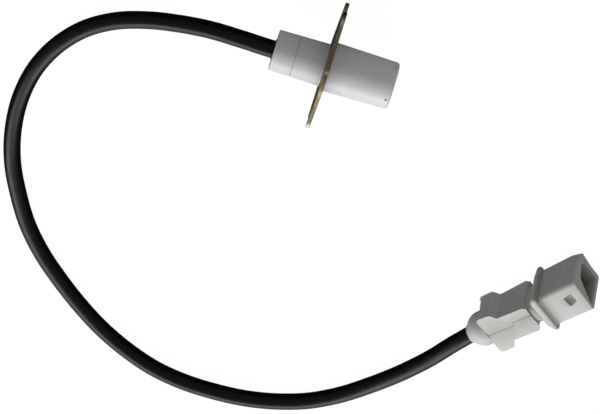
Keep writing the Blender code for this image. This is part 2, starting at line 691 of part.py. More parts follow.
def plug_shells(frame):
    """Two handed clamshell halves around the neck, the cores and the entry sleeve."""
    for name, side in (("near", 1), ("far", -1)):
        half = prism(shell_outline(side), -SHELL_HEIGHT / 2, SHELL_HEIGHT / 2)
        for vertex in half.verts:
            lost = SHELL_TAPER * (SHELL_FRONT_X - vertex.co.x)
            vertex.co.z -= math.copysign(lost, vertex.co.z)
        shell = add_object("shell_" + name, half, frame, PLUG_PLASTIC)
        cavity = box((CAVITY_REAR_X, -NECK_HALF[0] - GAP, -NECK_HALF[1] - GAP),
                     (SHELL_FRONT_X + 1, NECK_HALF[0] + GAP, NECK_HALF[1] + GAP))
        cut(shell, add_object("shell_cavity_" + name, cavity, frame, None))
        groove = turned([(SLEEVE_COLLAR_X[0] - GAP, 0.0),
                         (SLEEVE_COLLAR_X[0] - GAP, SLEEVE_COLLAR_R + GAP),
                         (SLEEVE_COLLAR_X[1] + GAP, SLEEVE_COLLAR_R + GAP),
                         (SLEEVE_COLLAR_X[1] + GAP, 0.0)], 24)
        cut(shell, add_object("shell_groove_" + name, groove, frame, None))
        throat = turned([(SHELL_REAR_X - 1, 0.0), (SHELL_REAR_X - 1, SLEEVE_SPIGOT_R + GAP),
                         (THROAT_FRONT_X, SLEEVE_SPIGOT_R + GAP), (THROAT_FRONT_X, 0.0)], 24)
        cut(shell, add_object("shell_throat_" + name, throat, frame, None))


def entry_sleeve(frame):
    """Domed strain relief round the sheath, held by its inner collar in the shells' groove."""
    front = SHELL_REAR_X - GAP
    dome = [(SLEEVE_END_X + DOME_LENGTH * (1 - math.sin(math.radians(a))),
             SLEEVE_SPIGOT_R + (SLEEVE_R - SLEEVE_SPIGOT_R) * math.cos(math.radians(a)))
            for a in (90, 65, 45, 25, 0)]
    profile = [
        (SLEEVE_COLLAR_X[1], CORD_BORE_R), (SLEEVE_END_X, CORD_BORE_R),
    ] + dome + [
        (front, SLEEVE_R - 0.1), (front, SLEEVE_SPIGOT_R), (SLEEVE_COLLAR_X[0], SLEEVE_SPIGOT_R),
        (SLEEVE_COLLAR_X[0], SLEEVE_COLLAR_R), (SLEEVE_COLLAR_X[1], SLEEVE_COLLAR_R),
    ]
    add_object("entry_sleeve", turned(profile, 40), frame, PLUG_PLASTIC, True)


# ---------------------------------------------------------------- assembly
def main():
    clear_scene()
    axis = empty("probe_axis", (0.0, 0.0, AXIS_Z))
    swivel = empty("flange_swivel", (FLANGE_FACE_X, 0.0, AXIS_Z))
    plug = empty("plug_frame", (*PLUG_FACE_XY, PLUG_AXIS_Z), PLUG_PITCH, PLUG_HEADING)
    front_barrel(axis)
    window_and_seals(axis)
    photocell(axis)
    head_wiring(axis)
    flange_plate(swivel)
    rear_body(axis)
    rear_cap(axis)
    cord_sheath()
    plug_housing(plug)
    plug_contacts(plug)
    terminal_lock(plug)
    plug_cores(plug)
    neck_band(plug)
    plug_shells(plug)
    entry_sleeve(plug)


main()
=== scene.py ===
"""Looks of the flame sensor probe: photocell head with a swivelling flange, a short lead and its plug.

Lengths inside the shape functions are millimetres in the head's or the plug's own frame.
Every mesh is placed in metres in the row frame: +X along the probe, +Y along the flange, +Z up.
"""
import json
import math

import bmesh
import bpy
from mathutils import Matrix, Vector


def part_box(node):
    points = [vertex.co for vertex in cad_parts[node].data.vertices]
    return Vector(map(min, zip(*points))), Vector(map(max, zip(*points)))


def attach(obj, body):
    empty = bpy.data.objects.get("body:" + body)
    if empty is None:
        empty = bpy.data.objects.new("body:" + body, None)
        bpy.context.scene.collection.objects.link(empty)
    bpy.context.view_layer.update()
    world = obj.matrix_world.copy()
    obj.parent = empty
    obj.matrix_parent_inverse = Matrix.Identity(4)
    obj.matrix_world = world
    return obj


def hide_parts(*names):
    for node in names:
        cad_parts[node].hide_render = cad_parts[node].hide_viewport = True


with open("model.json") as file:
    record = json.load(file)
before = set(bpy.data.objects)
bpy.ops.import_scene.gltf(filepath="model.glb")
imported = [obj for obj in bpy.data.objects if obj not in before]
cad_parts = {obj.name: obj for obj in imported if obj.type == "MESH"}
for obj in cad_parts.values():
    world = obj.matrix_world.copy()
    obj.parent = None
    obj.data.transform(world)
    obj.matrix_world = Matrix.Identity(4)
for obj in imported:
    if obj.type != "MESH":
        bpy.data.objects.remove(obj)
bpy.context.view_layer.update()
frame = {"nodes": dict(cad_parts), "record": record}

scene = bpy.context.scene
MM = 0.001


# ======================== camera
CAMERA_AZIMUTH = math.radians(183.805)
CAMERA_ELEVATION = math.radians(53.056)
CAMERA_ROLL = math.radians(193.963)
CAMERA_TARGET = Vector((0.00444, -0.06088, 0.0))
CAMERA_DISTANCE = 0.9497
CAMERA_LENS = 186.59


def add_camera():
    """The lens looks down at the part from its +Y side, and is held almost upside down."""
    back = Vector((math.sin(CAMERA_AZIMUTH) * math.cos(CAMERA_ELEVATION),
                   -math.cos(CAMERA_AZIMUTH) * math.cos(CAMERA_ELEVATION),
                   math.sin(CAMERA_ELEVATION)))
    level_right = (-back).cross(Vector((0.0, 0.0, 1.0))).normalized()
    level_up = level_right.cross(-back)
    right = math.cos(CAMERA_ROLL) * level_right + math.sin(CAMERA_ROLL) * level_up
    up = -math.sin(CAMERA_ROLL) * level_right + math.cos(CAMERA_ROLL) * level_up
    data = bpy.data.cameras.new("camera")
    data.lens = CAMERA_LENS
    data.clip_start = 0.01
    data.clip_end = 20.0
    camera = bpy.data.objects.new("camera", data)
    turn = Matrix((right, up, back)).transposed().to_4x4()
    camera.matrix_world = Matrix.Translation(CAMERA_TARGET + CAMERA_DISTANCE * back) @ turn
    scene.collection.objects.link(camera)
    scene.camera = camera


# ======================== node materials
class Nodes:
    """A node tree with short ways to add to it."""

    def __init__(self, tree):
        self.tree = tree

    def node(self, kind, **inputs):
        """New node with each named input linked to a socket or set to a constant."""
        node = self.tree.nodes.new(kind)
        for name, value in inputs.items():
            self.feed(node.inputs[name.replace("_", " ")], value)
        return node

    def feed(self, socket, value):
        if isinstance(value, bpy.types.NodeSocket):
            self.tree.links.new(value, socket)
        else:
            socket.default_value = value

    def spread(self, value, low, high, from_low=0.3, from_high=0.7):
        """Low where the value is from_low, high where it is from_high, clamped outside."""
        return self.node("ShaderNodeMapRange", Value=value, From_Min=from_low, From_Max=from_high,
                         To_Min=low, To_Max=high).outputs["Result"]

    def mix(self, factor, colour_a, colour_b):
        """Colour_a at factor 0, colour_b at factor 1; each is a socket or an RGB triple."""
        node = self.tree.nodes.new("ShaderNodeMix")
        node.data_type = "RGBA"
        self.feed(node.inputs[0], factor)
        for socket, colour in ((node.inputs[6], colour_a), (node.inputs[7], colour_b)):
            self.feed(socket, colour if isinstance(colour, bpy.types.NodeSocket) else (*colour, 1.0))
        return node.outputs[2]


class Shader(Nodes):
    """A new material and the nodes that feed its Principled BSDF."""

    def __init__(self, name):
        self.material = bpy.data.materials.new(name)
        self.material.use_nodes = True
        super().__init__(self.material.node_tree)
        self.principled = self.tree.nodes["Principled BSDF"]
        self.place = self.tree.nodes.new("ShaderNodeTexCoord").outputs["Object"]

    def noise(self, scale, detail=3.0, roughness=0.55, stretch=None, distortion=0.0):
        """Noise with features of 1 / scale metres, optionally stretched along the axes."""
        place = self.place
        if stretch:
            place = self.node("ShaderNodeMapping", Vector=place, Scale=stretch).outputs["Vector"]
        node = self.node("ShaderNodeTexNoise", Vector=place, Scale=scale, Detail=detail,
                         Roughness=roughness, Distortion=distortion)
        return node.outputs["Fac"]

    def bump(self, height, distance, strength=1.0, below=None):
        """Bump of so many metres, on top of an earlier bump."""
        node = self.node("ShaderNodeBump", Height=height, Distance=distance, Strength=strength)
        if below:
            self.feed(node.inputs["Normal"], below)
        return node.outputs["Normal"]

    def attribute(self, name):
        """A value that paint() stored at the vertices, 0 where the mesh has none."""
        node = self.tree.nodes.new("ShaderNodeAttribute")
        node.attribute_name = name
        return node.outputs["Fac"]

    def set(self, **inputs):
        """Feed the Principled BSDF and hand over the finished material."""
        for name, value in inputs.items():
            self.feed(self.principled.inputs[name.replace("_", " ")], value)
        return self.material


def moulded_plastic(name, clean, stained, roughness, grain=1.0):
    """Injection-moulded plastic: faint cloudy staining, a fine eroded grain, uneven gloss, and painted
    shade from each piece's vertex marks.
    """
    s = Shader(name)
    cloud = s.noise(90.0, 4.0)
    speck = s.noise(2600.0, 2.0)
    stain = s.spread(cloud, 0.0, 0.55)
    colour = s.mix(stain, clean, stained)
    darker = tuple(0.82 * c for c in stained)
    colour = s.mix(s.spread(speck, 0.0, 0.16, 0.56, 0.75), colour, darker)
    # Painted shade: the vertex marks darken the colour towards this tone in recesses, in crevices
    # between parts and on slopes turned from the lamp, and along joint lines.
    shaded_and_soiled = (0.30 * stained[0], 0.29 * stained[1], 0.24 * stained[2])
    colour = s.mix(s.attribute("shade_and_grime"), colour, shaded_and_soiled)
    normal = s.bump(s.noise(5200.0, 2.0), 0.00002 * grain, 0.35)
    normal = s.bump(s.noise(420.0, 3.0), 0.00004 * grain, 0.25, normal)
    return s.set(Base_Color=colour, Roughness=s.spread(cloud, roughness - 0.05, roughness + 0.07),
                 IOR=1.49, Normal=normal)


def yellow_zinc():
    """Zinc plate under yellow passivation: olive to tan patches, pink and green tints, worn edges,
    painted glints and painted shade.
    """
    s = Shader("yellow_zinc")
    patch = s.spread(s.noise(260.0, 4.0, 0.6), 0.0, 1.0, 0.38, 0.62)
    tint = s.spread(s.noise(420.0, 3.0, distortion=0.4), 0.0, 1.0, 0.42, 0.66)
    colour = s.mix(patch, (0.215, 0.215, 0.095), (0.34, 0.31, 0.16))
    colour = s.mix(tint, colour, (0.27, 0.175, 0.095))
    green = s.spread(s.noise(340.0, 2.0, distortion=0.8), 0.0, 0.6, 0.55, 0.72)
    colour = s.mix(green, colour, (0.22, 0.26, 0.12))
    scratch = s.noise(900.0, 2.0, stretch=(1.0, 0.06, 1.0))
    colour = s.mix(s.spread(scratch, 0.0, 0.5, 0.62, 0.78), colour, (0.50, 0.48, 0.38))
    colour = s.mix(s.attribute("rust"), colour, (0.24, 0.13, 0.065))
    # Painted shade: near black on the rear face's near half and the near tip, and dimmer along the
    # middle of the rim, where it damps the lamp's reflection.
    colour = s.mix(s.attribute("painted_shade"), colour, (0.035, 0.033, 0.025))
    # Bright metal on the rubbed edges, and painted glints at three spots on the rim.
    colour = s.mix(s.attribute("wear_and_glints"), colour, (0.90, 0.87, 0.74))
    rough = s.spread(s.noise(700.0, 3.0), 0.40, 0.55)
    normal = s.bump(scratch, 0.00003, 0.3)
    normal = s.bump(s.noise(3200.0, 2.0), 0.00002, 0.35, normal)
    return s.set(Base_Color=colour, Metallic=1.0, Roughness=rough, Normal=normal)


def plated_metal(name, bright, dull, roughness):
    """Thin bright plating with fine drawing lines."""
    s = Shader(name)
    line = s.noise(1500.0, 2.0, stretch=(0.08, 1.0, 1.0))
    cloud = s.noise(400.0, 3.0)
    colour = s.mix(s.spread(cloud, 0.0, 1.0), bright, dull)
    normal = s.bump(line, 0.00002, 0.4)
    return s.set(Base_Color=colour, Metallic=1.0, Normal=normal,
                 Roughness=s.spread(line, roughness, roughness + 0.14))


def soft_rubber(name, colour, roughness):
    """Moulded or extruded rubbery plastic with a dusty bloom."""
    s = Shader(name)
    bloom = s.spread(s.noise(330.0, 4.0), 0.0, 0.5, 0.45, 0.75)
    dusty = tuple(min(1.0, c * 1.7 + 0.006) for c in colour)
    normal = s.bump(s.noise(2600.0, 3.0), 0.00003, 0.4)
    return s.set(Base_Color=s.mix(bloom, colour, dusty), Normal=normal,
                 Roughness=s.spread(bloom, roughness, roughness + 0.12, 0.0, 0.5))


def extruded_sheath():
    """Black lead sheath: satin, with draw lines along it and light scuffs."""
    s = Shader("cord_sheath")
    uv = s.tree.nodes.new("ShaderNodeTexCoord").outputs["UV"]
    along = s.node("ShaderNodeMapping", Vector=uv, Scale=(34.0, 26.0, 1.0)).outputs["Vector"]
    lines = s.node("ShaderNodeTexNoise", Vector=along, Scale=1.0, Detail=3.0).outputs["Fac"]
    scuff = s.spread(s.noise(520.0, 4.0, 0.65), 0.0, 1.0, 0.55, 0.78)
    colour = s.mix(scuff, (0.0014, 0.0034, 0.0046), (0.009, 0.012, 0.014))
    normal = s.bump(lines, 0.00003, 0.35)
    normal = s.bump(s.noise(3400.0, 2.0), 0.000015, 0.3, normal)
    rough = s.spread(s.noise(260.0, 3.0), 0.27, 0.36)
    return s.set(Base_Color=colour, Roughness=rough, IOR=1.5, Specular_IOR_Level=0.24, Normal=normal)


def clear_glass():
    """Clear window with a faint smear and hardly any tint."""
    s = Shader("window_glass")
    smear = s.spread(s.noise(700.0, 3.0), 0.015, 0.09, 0.4, 0.8)
    tint = s.mix(s.spread(s.noise(500.0, 2.0), 0.0, 1.0), (0.93, 0.97, 0.96), (0.86, 0.93, 0.93))
    return s.set(Base_Color=tint, Roughness=smear, IOR=1.5, Transmission_Weight=1.0)


def cell_resin():
    """The photocell's face: orange-red sensitive layer under clear lacquer."""
    s = Shader("cell_resin")
    mottle = s.spread(s.noise(2400.0, 4.0), 0.0, 1.0)
    colour = s.mix(mottle, (0.42, 0.115, 0.03), (0.60, 0.21, 0.06))
    return s.set(Base_Color=colour, Roughness=s.spread(mottle, 0.35, 0.5), Coat_Weight=0.8,
                 Coat_Roughness=0.08)


def make_materials():
    return {
        "head_plastic": moulded_plastic("head_plastic", (0.84, 0.83, 0.855), (0.77, 0.755, 0.785),
                                        0.42),
        "plug_plastic": moulded_plastic("plug_plastic", (0.665, 0.675, 0.65), (0.58, 0.58, 0.54),
                                        0.46, 1.4),
        "grey_plastic": moulded_plastic("grey_plastic", (0.28, 0.29, 0.30), (0.23, 0.24, 0.25), 0.5),
        "yellow_zinc": yellow_zinc(),
        "cord_sheath": extruded_sheath(),
        "seal_rubber": soft_rubber("seal_rubber", (0.012, 0.012, 0.013), 0.55),
        "window_glass": clear_glass(),
        "cell_body": cell_resin(),
        "tinned_metal": plated_metal("tinned_metal", (0.72, 0.72, 0.71), (0.58, 0.58, 0.57), 0.2),
        "contact_brass": plated_metal("contact_brass", (0.78, 0.60, 0.30), (0.62, 0.45, 0.20), 0.22),
        "brown_core": soft_rubber("brown_core", (0.16, 0.06, 0.025), 0.4),
        "blue_core": soft_rubber("blue_core", (0.025, 0.09, 0.36), 0.4),
    }


# ======================== shapes, mm
def arc(centre_u, centre_v, radius, start, end, steps):
    """Points from one angle to another, in degrees."""
    points = []
    for i in range(steps + 1):
        a = math.radians(start + (end - start) * i / steps)
        points.append((centre_u + radius * math.cos(a), centre_v + radius * math.sin(a)))
    return points


def rounded_rectangle(half_u, half_v, radius, steps=8, straight=4):
    """Counter-clockwise outline with points along its straight sides as well as its corners."""
    turns = [arc(su * (half_u - radius), sv * (half_v - radius), radius, start, start + 90, steps)
             for su, sv, start in ((1, 1, 0), (-1, 1, 90), (-1, -1, 180), (1, -1, 270))]
    points = []
    for turn, after in zip(turns, turns[1:] + turns[:1]):
        points += turn
        (u0, v0), (u1, v1) = turn[-1], after[0]
        for i in range(1, straight):
            t = i / straight
            points.append((u0 + (u1 - u0) * t, v0 + (v1 - v0) * t))
    return points


def filleted(corners, radii, steps=6):
    """Closed outline through the corners, rounded by one radius or each by its own."""
    points = []
    count = len(corners)
    for i, corner in enumerate(corners):
        here = Vector(corner)
        to_last = (Vector(corners[i - 1]) - here).normalized()
        to_next = (Vector(corners[(i + 1) % count]) - here).normalized()
        half = to_last.angle(to_next) / 2
        radius = radii[i] if isinstance(radii, (list, tuple)) else radii
        if radius <= 0.0 or half > math.radians(88):
            points.append(tuple(here))
            continue
        centre = here + (to_last + to_next).normalized() * (radius / math.sin(half))
        start = here + to_last * (radius / math.tan(half)) - centre
        end = here + to_next * (radius / math.tan(half)) - centre
        sweep = start.angle_signed(end)
        for k in range(steps + 1):
            a = -sweep * k / steps
            points.append((centre.x + start.x * math.cos(a) - start.y * math.sin(a),
                           centre.y + start.x * math.sin(a) + start.y * math.cos(a)))
    return points


def offset(outline, amounts):
    """Move a counter-clockwise outline outwards by one amount or each point by its own."""
    moved = []
    count = len(outline)
    for i, (u, v) in enumerate(outline):
        before = Vector((u, v)) - Vector(outline[i - 1])
        after = Vector(outline[(i + 1) % count]) - Vector((u, v))
        normal_a = Vector((before.y, -before.x)).normalized()
        normal_b = Vector((after.y, -after.x)).normalized()
        middle = (normal_a + normal_b).normalized()
        stretch = 1.0 / max(0.5, middle.dot(normal_a))
        amount = amounts[i] if isinstance(amounts, (list, tuple)) else amounts
        moved.append((u + middle.x * amount * stretch, v + middle.y * amount * stretch))
    return moved


def loft(loops):
    """Closed body through loops of 3-D points, capped at both ends."""
    bm = bmesh.new()
    rings = [[bm.verts.new(p) for p in loop] for loop in loops]
    count = len(rings[0])
    for a, b in zip(rings, rings[1:]):
        for i in range(count):
            j = (i + 1) % count
            bm.faces.new((a[i], a[j], b[j], b[i]))
    bm.faces.new(rings[0])
    bm.faces.new(rings[-1])
    bmesh.ops.recalc_face_normals(bm, faces=bm.faces)
    return bm


def along_x(outline, x):
    """Outline in Y and Z at a station along X."""
    return [(x, u, v) for u, v in outline]


def along_z(outline, z):
    """Outline in X and Y at a height."""
    return [(u, v, z) for u, v in outline]


def turned(profile, segments=128):
    """Solid of revolution about X from a closed outline of (x, radius) points."""
    bm = bmesh.new()
    rings = []
    for x, radius in profile:
        if radius == 0.0:
            rings.append([bm.verts.new((x, 0.0, 0.0))])
            continue
        rings.append([bm.verts.new((x, radius * math.cos(2 * math.pi * i / segments),
                                    radius * math.sin(2 * math.pi * i / segments)))
                      for i in range(segments)])
    for ring_a, ring_b in zip(rings, rings[1:] + rings[:1]):
        if len(ring_a) == 1 and len(ring_b) == 1:
            continue
        for i in range(segments):
            j = (i + 1) % segments
            if len(ring_a) == 1:
                bm.faces.new((ring_a[0], ring_b[i], ring_b[j]))
            elif len(ring_b) == 1:
                bm.faces.new((ring_a[i], ring_b[0], ring_a[j]))
            else:
                bm.faces.new((ring_a[i], ring_b[i], ring_b[j], ring_a[j]))
    bmesh.ops.recalc_face_normals(bm, faces=bm.faces)
    return bm


def box(low, high):
    """Block between two opposite corners."""
    outline = [(low[0], low[1]), (high[0], low[1]), (high[0], high[1]), (low[0], high[1])]
    return loft([along_z(outline, low[2]), along_z(outline, high[2])])


def rod(start, end, radius, sides=24):
    """Round bar between two points."""
    start, end = Vector(start), Vector(end)
    bm = bmesh.new()
    bmesh.ops.create_cone(bm, cap_ends=True, segments=sides, radius1=radius, radius2=radius,
                          depth=(end - start).length)
    turn = (end - start).to_track_quat("Z", "Y").to_matrix().to_4x4()
    bmesh.ops.transform(bm, matrix=Matrix.Translation((start + end) / 2) @ turn, verts=bm.verts)
    return bm


def bell(distance, width):
    """Mark that is 1 at a place and fades over so many millimetres."""
    return math.exp(-(distance / width) ** 2)


# ======================== objects
def raw_object(name, bm):
    """Object with the body's mesh, in the scene as it is."""
    mesh = bpy.data.meshes.new(name)
    bm.to_mesh(mesh)
    bm.free()
    obj = bpy.data.objects.new(name, mesh)
    scene.collection.objects.link(obj)
    return obj


def carve(bm, cutters=(), joins=()):
    """The body after exact unions with the joins and cuts by the cutters."""
    target = raw_object("carving", bm)
    tools = []
    for kind, pieces in (("UNION", joins), ("DIFFERENCE", cutters)):
        for piece in pieces:
            tool = raw_object("tool", piece)
            modifier = target.modifiers.new("carve", "BOOLEAN")
            modifier.operation = kind
            modifier.solver = "EXACT"
            modifier.object = tool
            tools.append(tool)
    result = bmesh.new()
    result.from_object(target, bpy.context.evaluated_depsgraph_get())
    for obj in [target] + tools:
        bpy.data.objects.remove(obj, do_unlink=True)
    bmesh.ops.remove_doubles(result, verts=result.verts, dist=0.0005)
    bmesh.ops.dissolve_degenerate(result, dist=0.0005, edges=result.edges)
    return result


def paint(obj, name, amount):
    """Store amount(point in mm) at every vertex for the material to read."""
    layer = obj.data.attributes.new(name, "FLOAT", "POINT")
    for vertex, item in zip(obj.data.vertices, layer.data):
        item.value = amount(vertex.co)


def piece(name, bm, place, look, body, replaced=(), sharp=32.0, marks=None):
    """Turn millimetres into a finished, riding object with its material."""
    obj = raw_object(name, bm)
    mesh = obj.data
    for mark, amount in (marks or {}).items():
        paint(obj, mark, amount)
    mesh.transform(place @ Matrix.Scale(MM, 4))
    mesh.shade_smooth()
    mesh.set_sharp_from_angle(angle=math.radians(sharp))
    mesh.materials.append(materials[look])
    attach(obj, body)
    if replaced:
        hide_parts(*replaced)


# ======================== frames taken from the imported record
MOUNTS = {m["name"]: m for m in frame["record"]["mounts"]}
PLUG_FACE_OFFSET = 4.5         # mm from the plug's axis to its face mount


def plug_place():
    """The plug's own frame: +X out of its open face, +Y to its left, +Z up."""
    along = Vector(MOUNTS["plug_face"]["axis"]).normalized()
    side = Vector((0.0, 0.0, 1.0)).cross(along).normalized()
    up = along.cross(side)
    origin = Vector(MOUNTS["plug_face"]["pos_m"]) - side * PLUG_FACE_OFFSET * MM
    return Matrix.Translation(origin) @ Matrix((along, side, up)).transposed().to_4x4()


def probe_place():
    """The head's own frame: its axis is X, at the height of the rear body's middle."""
    low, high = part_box("rear_body")
    return Matrix.Translation((0.0, 0.0, (low[2] + high[2]) / 2))


# ======================== the lead
CORD_DIAMETER = 5.3
CORD_ROUTE = [
    (-0.0164, 0.0000, 0.0120), (-0.0210, 0.0000, 0.0120), (-0.0277, -0.0002, 0.0115),
    (-0.0371, -0.0017, 0.0094), (-0.0465, -0.0045, 0.0070), (-0.0558, -0.0082, 0.0047),
    (-0.0649, -0.0129, 0.0032), (-0.0731, -0.0193, 0.0027), (-0.0797, -0.0280, 0.0027),
    (-0.0842, -0.0386, 0.0027), (-0.0862, -0.0504, 0.0027), (-0.0859, -0.0626, 0.0027),
    (-0.0836, -0.0745, 0.0027), (-0.0794, -0.0857, 0.0027), (-0.0742, -0.0962, 0.0027),
    (-0.0675, -0.1056, 0.0027), (-0.0598, -0.1138, 0.0027), (-0.0516, -0.1213, 0.0027),
    (-0.0428, -0.1280, 0.0027), (-0.0335, -0.1333, 0.0027), (-0.0236, -0.1373, 0.0027),
    (-0.0134, -0.1392, 0.0027), (-0.0031, -0.1394, 0.0027), (0.0072, -0.1384, 0.0027),
    (0.0172, -0.1358, 0.0027), (0.0268, -0.1316, 0.0027), (0.0357, -0.1251, 0.0030),
    (0.0436, -0.1169, 0.0038), (0.0498, -0.1093, 0.0048), (0.0544, -0.1029, 0.0056),
    (0.0580, -0.0974, 0.0062), (0.06082, -0.09240, 0.00674), (0.06280, -0.08895, 0.00706),
    (0.06474, -0.08584, 0.00731), (0.06657, -0.08297, 0.00749), (0.06805, -0.08108, 0.00757),
    (0.06946, -0.07927, 0.00765),
]
CORD_RINGS = 300
CORD_SIDES = 40
FINE_STEPS = 20                # between two points of the route, before they are spaced evenly


def smooth_route(points, count):
    """Even steps along a Catmull-Rom curve through the route's points."""
    points = [Vector(p) for p in points]
    ends = [points[0] * 2 - points[1]] + points + [points[-1] * 2 - points[-2]]
    fine = []
    for a, b, c, d in zip(ends, ends[1:], ends[2:], ends[3:]):
        for i in range(FINE_STEPS):
            t = i / FINE_STEPS
            fine.append(0.5 * (2 * b + (c - a) * t + (2 * a - 5 * b + 4 * c - d) * t ** 2
                               + (3 * b - 3 * c + d - a) * t ** 3))
    fine.append(points[-1])
    reach = [0.0]
    for a, b in zip(fine, fine[1:]):
        reach.append(reach[-1] + (b - a).length)
    even = []
    k = 0
    for i in range(count + 1):
        target = reach[-1] * i / count
        while k < len(fine) - 2 and reach[k + 1] < target:
            k += 1
        share = (target - reach[k]) / (reach[k + 1] - reach[k])
        even.append(fine[k].lerp(fine[k + 1], min(1.0, share)))
    return even, reach[-1]


def add_cord():
    """Round sheath as one closed tube whose UV runs round it and along it."""
    path, length = smooth_route(CORD_ROUTE, CORD_RINGS)
    radius = CORD_DIAMETER / 2 * MM
    bm = bmesh.new()
    uv_layer = bm.loops.layers.uv.new("UVMap")
    rings = []
    side = Vector((0.0, 1.0, 0.0))
    for i, point in enumerate(path):
        ahead = (path[min(i + 1, CORD_RINGS)] - path[max(i - 1, 0)]).normalized()
        side = (side - ahead * side.dot(ahead)).normalized()
        up = ahead.cross(side)
        ring = []
        for k in range(CORD_SIDES):
            a = 2 * math.pi * k / CORD_SIDES
            ring.append(bm.verts.new(point + radius * (math.cos(a) * side + math.sin(a) * up)))
        rings.append(ring)
    for i, (ring_a, ring_b) in enumerate(zip(rings, rings[1:])):
        for k in range(CORD_SIDES):
            j = (k + 1) % CORD_SIDES
            face = bm.faces.new((ring_a[k], ring_a[j], ring_b[j], ring_b[k]))
            around = ((k, i), (k + 1, i), (k + 1, i + 1), (k, i + 1))
            for loop, (u, v) in zip(face.loops, around):
                loop[uv_layer].uv = (u / CORD_SIDES, v / CORD_RINGS)
    bm.faces.new(rings[0])
    bm.faces.new(rings[-1])
    bmesh.ops.recalc_face_normals(bm, faces=bm.faces)
    lead = raw_object("lead_sheath", bm)
    lead.data.shade_smooth()
    lead.data.set_sharp_from_angle(angle=math.radians(50))
    lead.data.materials.append(materials["cord_sheath"])
    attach(lead, "probe")
    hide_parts("cord_sheath")
    return lead, path, length


# ======================== head
FRONT_X = 18.3
REAR_X = -18.0
BARREL_R = 7.0                 # at the sensing end
REAR_R = 6.07                  # at the lead's end
FLANGE_FACE_X = MOUNTS["flange_face"]["pos_m"][0] / MM
FLANGE_THICK = 1.2
COUNTERBORE_R = 6.0
SEAT_X = 12.6                  # bottom of the counterbore, where the window's seal sits
CELL_BORE_R = 4.6
CELL_BORE_X = 2.0
CORE_BORE_R = 3.2
SPIGOT_R = 5.0
SPIGOT_X = -8.0                # rear end of the spigot
SEAL_GROOVE_X = (-6.2, -4.9)
SEAL_GROOVE_R = 4.2
ANCHOR_BORE_R = 4.2
ANCHOR_BORE_X = (-16.2, -8.5)
GLAND_BORE_R = 4.9
CORD_BORE_R = 2.95
SLIP = 0.1                     # running clearance each side of the flange
PART_LINE = 0.07               # width of a closed joint line
WITNESS_X = 7.8                # faint line round the barrel where the mould's parts meet
SNAP_X = 17.05                 # lugs of the bezel and their holes in the barrel
SNAP_ANGLES = (5, 95, 185, 275)
RIB_ANGLE = 38
CAP_LINE_X = -11.55            # where the cap meets the rear body
DRAFT = 0.018                  # growth of the radius per millimetre towards the flange


def draft(radius, x, end_x):
    """Radius at x of a moulding that is thinnest at end_x."""
    return radius + DRAFT * abs(x - end_x)


def front_barrel(place):
    """Sensing end: rounded rim, snap holes behind it, a witness line and the locating rib."""
    shoulder = FLANGE_FACE_X + SLIP
    radius = draft(BARREL_R, shoulder, FRONT_X)
    groove_rear, groove_front = SEAL_GROOVE_X
    profile = arc(FRONT_X - 0.9, BARREL_R - 0.9, 0.9, 90, 0, 10)
    profile += arc(FRONT_X - 0.15, COUNTERBORE_R + 0.1, 0.15, 0, -90, 4)[1:]
    profile += [
        (SEAT_X, COUNTERBORE_R), (SEAT_X, CELL_BORE_R), (CELL_BORE_X, CELL_BORE_R),
        (CELL_BORE_X, CORE_BORE_R), (SPIGOT_X, CORE_BORE_R), (SPIGOT_X, SPIGOT_R - 0.3),
        (SPIGOT_X + 0.3, SPIGOT_R), (groove_rear, SPIGOT_R), (groove_rear, SEAL_GROOVE_R),
        (groove_front, SEAL_GROOVE_R), (groove_front, SPIGOT_R), (shoulder, SPIGOT_R),
        (shoulder, radius - 0.2),
    ]
    profile += arc(shoulder + 0.2, radius - 0.2, 0.2, 180, 90, 4)[1:]
    witness = [(-0.35, 0.0), (-0.18, 0.008), (-0.06, 0.025), (0.06, 0.025), (0.18, 0.008),
               (0.35, 0.0)]
    profile += [(WITNESS_X + u, draft(BARREL_R, WITNESS_X + u, FRONT_X) - v) for u, v in witness]
    holes = []
    for angle in SNAP_ANGLES:
        a = math.radians(angle)
        ray = Vector((0.0, math.cos(a), math.sin(a)))
        at = Vector((SNAP_X, 0.0, 0.0))
        holes.append(rod(at + ray * 5.8, at + ray * 8.0, 0.42))
    foot, head, half_width = shoulder + 0.25, shoulder + 5.4, 1.3
    rib_outline = filleted([(foot, -half_width), (head, -half_width), (head, half_width),
                            (foot, half_width)], 0.4)
    rib = loft([along_z(offset(rib_outline, grow), radius + rise)
                for rise, grow in ((-0.9, 0.3), (-0.1, 0.0), (0.03, -0.25), (0.05, -0.5))])
    bmesh.ops.transform(rib, matrix=Matrix.Rotation(math.radians(RIB_ANGLE), 4, "X"), verts=rib.verts)
    bm = carve(turned(profile), holes, [rib])

    # Painted shade next to the flange, and a darker line along the witness line.
    def shade_and_grime(p):
        return 0.06 * bell(p.x - shoulder, 0.5) + 0.10 * bell(p.x - WITNESS_X, 0.25)
    piece("barrel_front", bm, place, "head_plastic", "probe", ("front_barrel",), marks={"shade_and_grime": shade_and_grime})


def rear_body(place):
    """Plain middle tube, a little wider at the flange than at the cap."""
    low = CAP_LINE_X + PART_LINE / 2
    high = FLANGE_FACE_X - FLANGE_THICK - SLIP
    bore = SPIGOT_R + 0.3
    radius_low = draft(REAR_R, low, REAR_X)
    radius_high = draft(REAR_R, high, REAR_X)
    profile = [(low, bore), (low, radius_low - 0.10)]
    profile += arc(low + 0.10, radius_low - 0.10, 0.10, 180, 90, 3)[1:]
    profile += arc(high - 0.2, radius_high - 0.2, 0.2, 90, 0, 4) + [(high, bore)]

    # Darker along the joint with the cap; painted shade next to the flange.
    def shade_and_grime(p):
        return 0.14 * bell(p.x - low, 0.16) + 0.06 * bell(p.x - high, 0.5)
    piece("barrel_rear", turned(profile), place, "head_plastic", "probe", ("rear_body",),
          marks={"shade_and_grime": shade_and_grime})


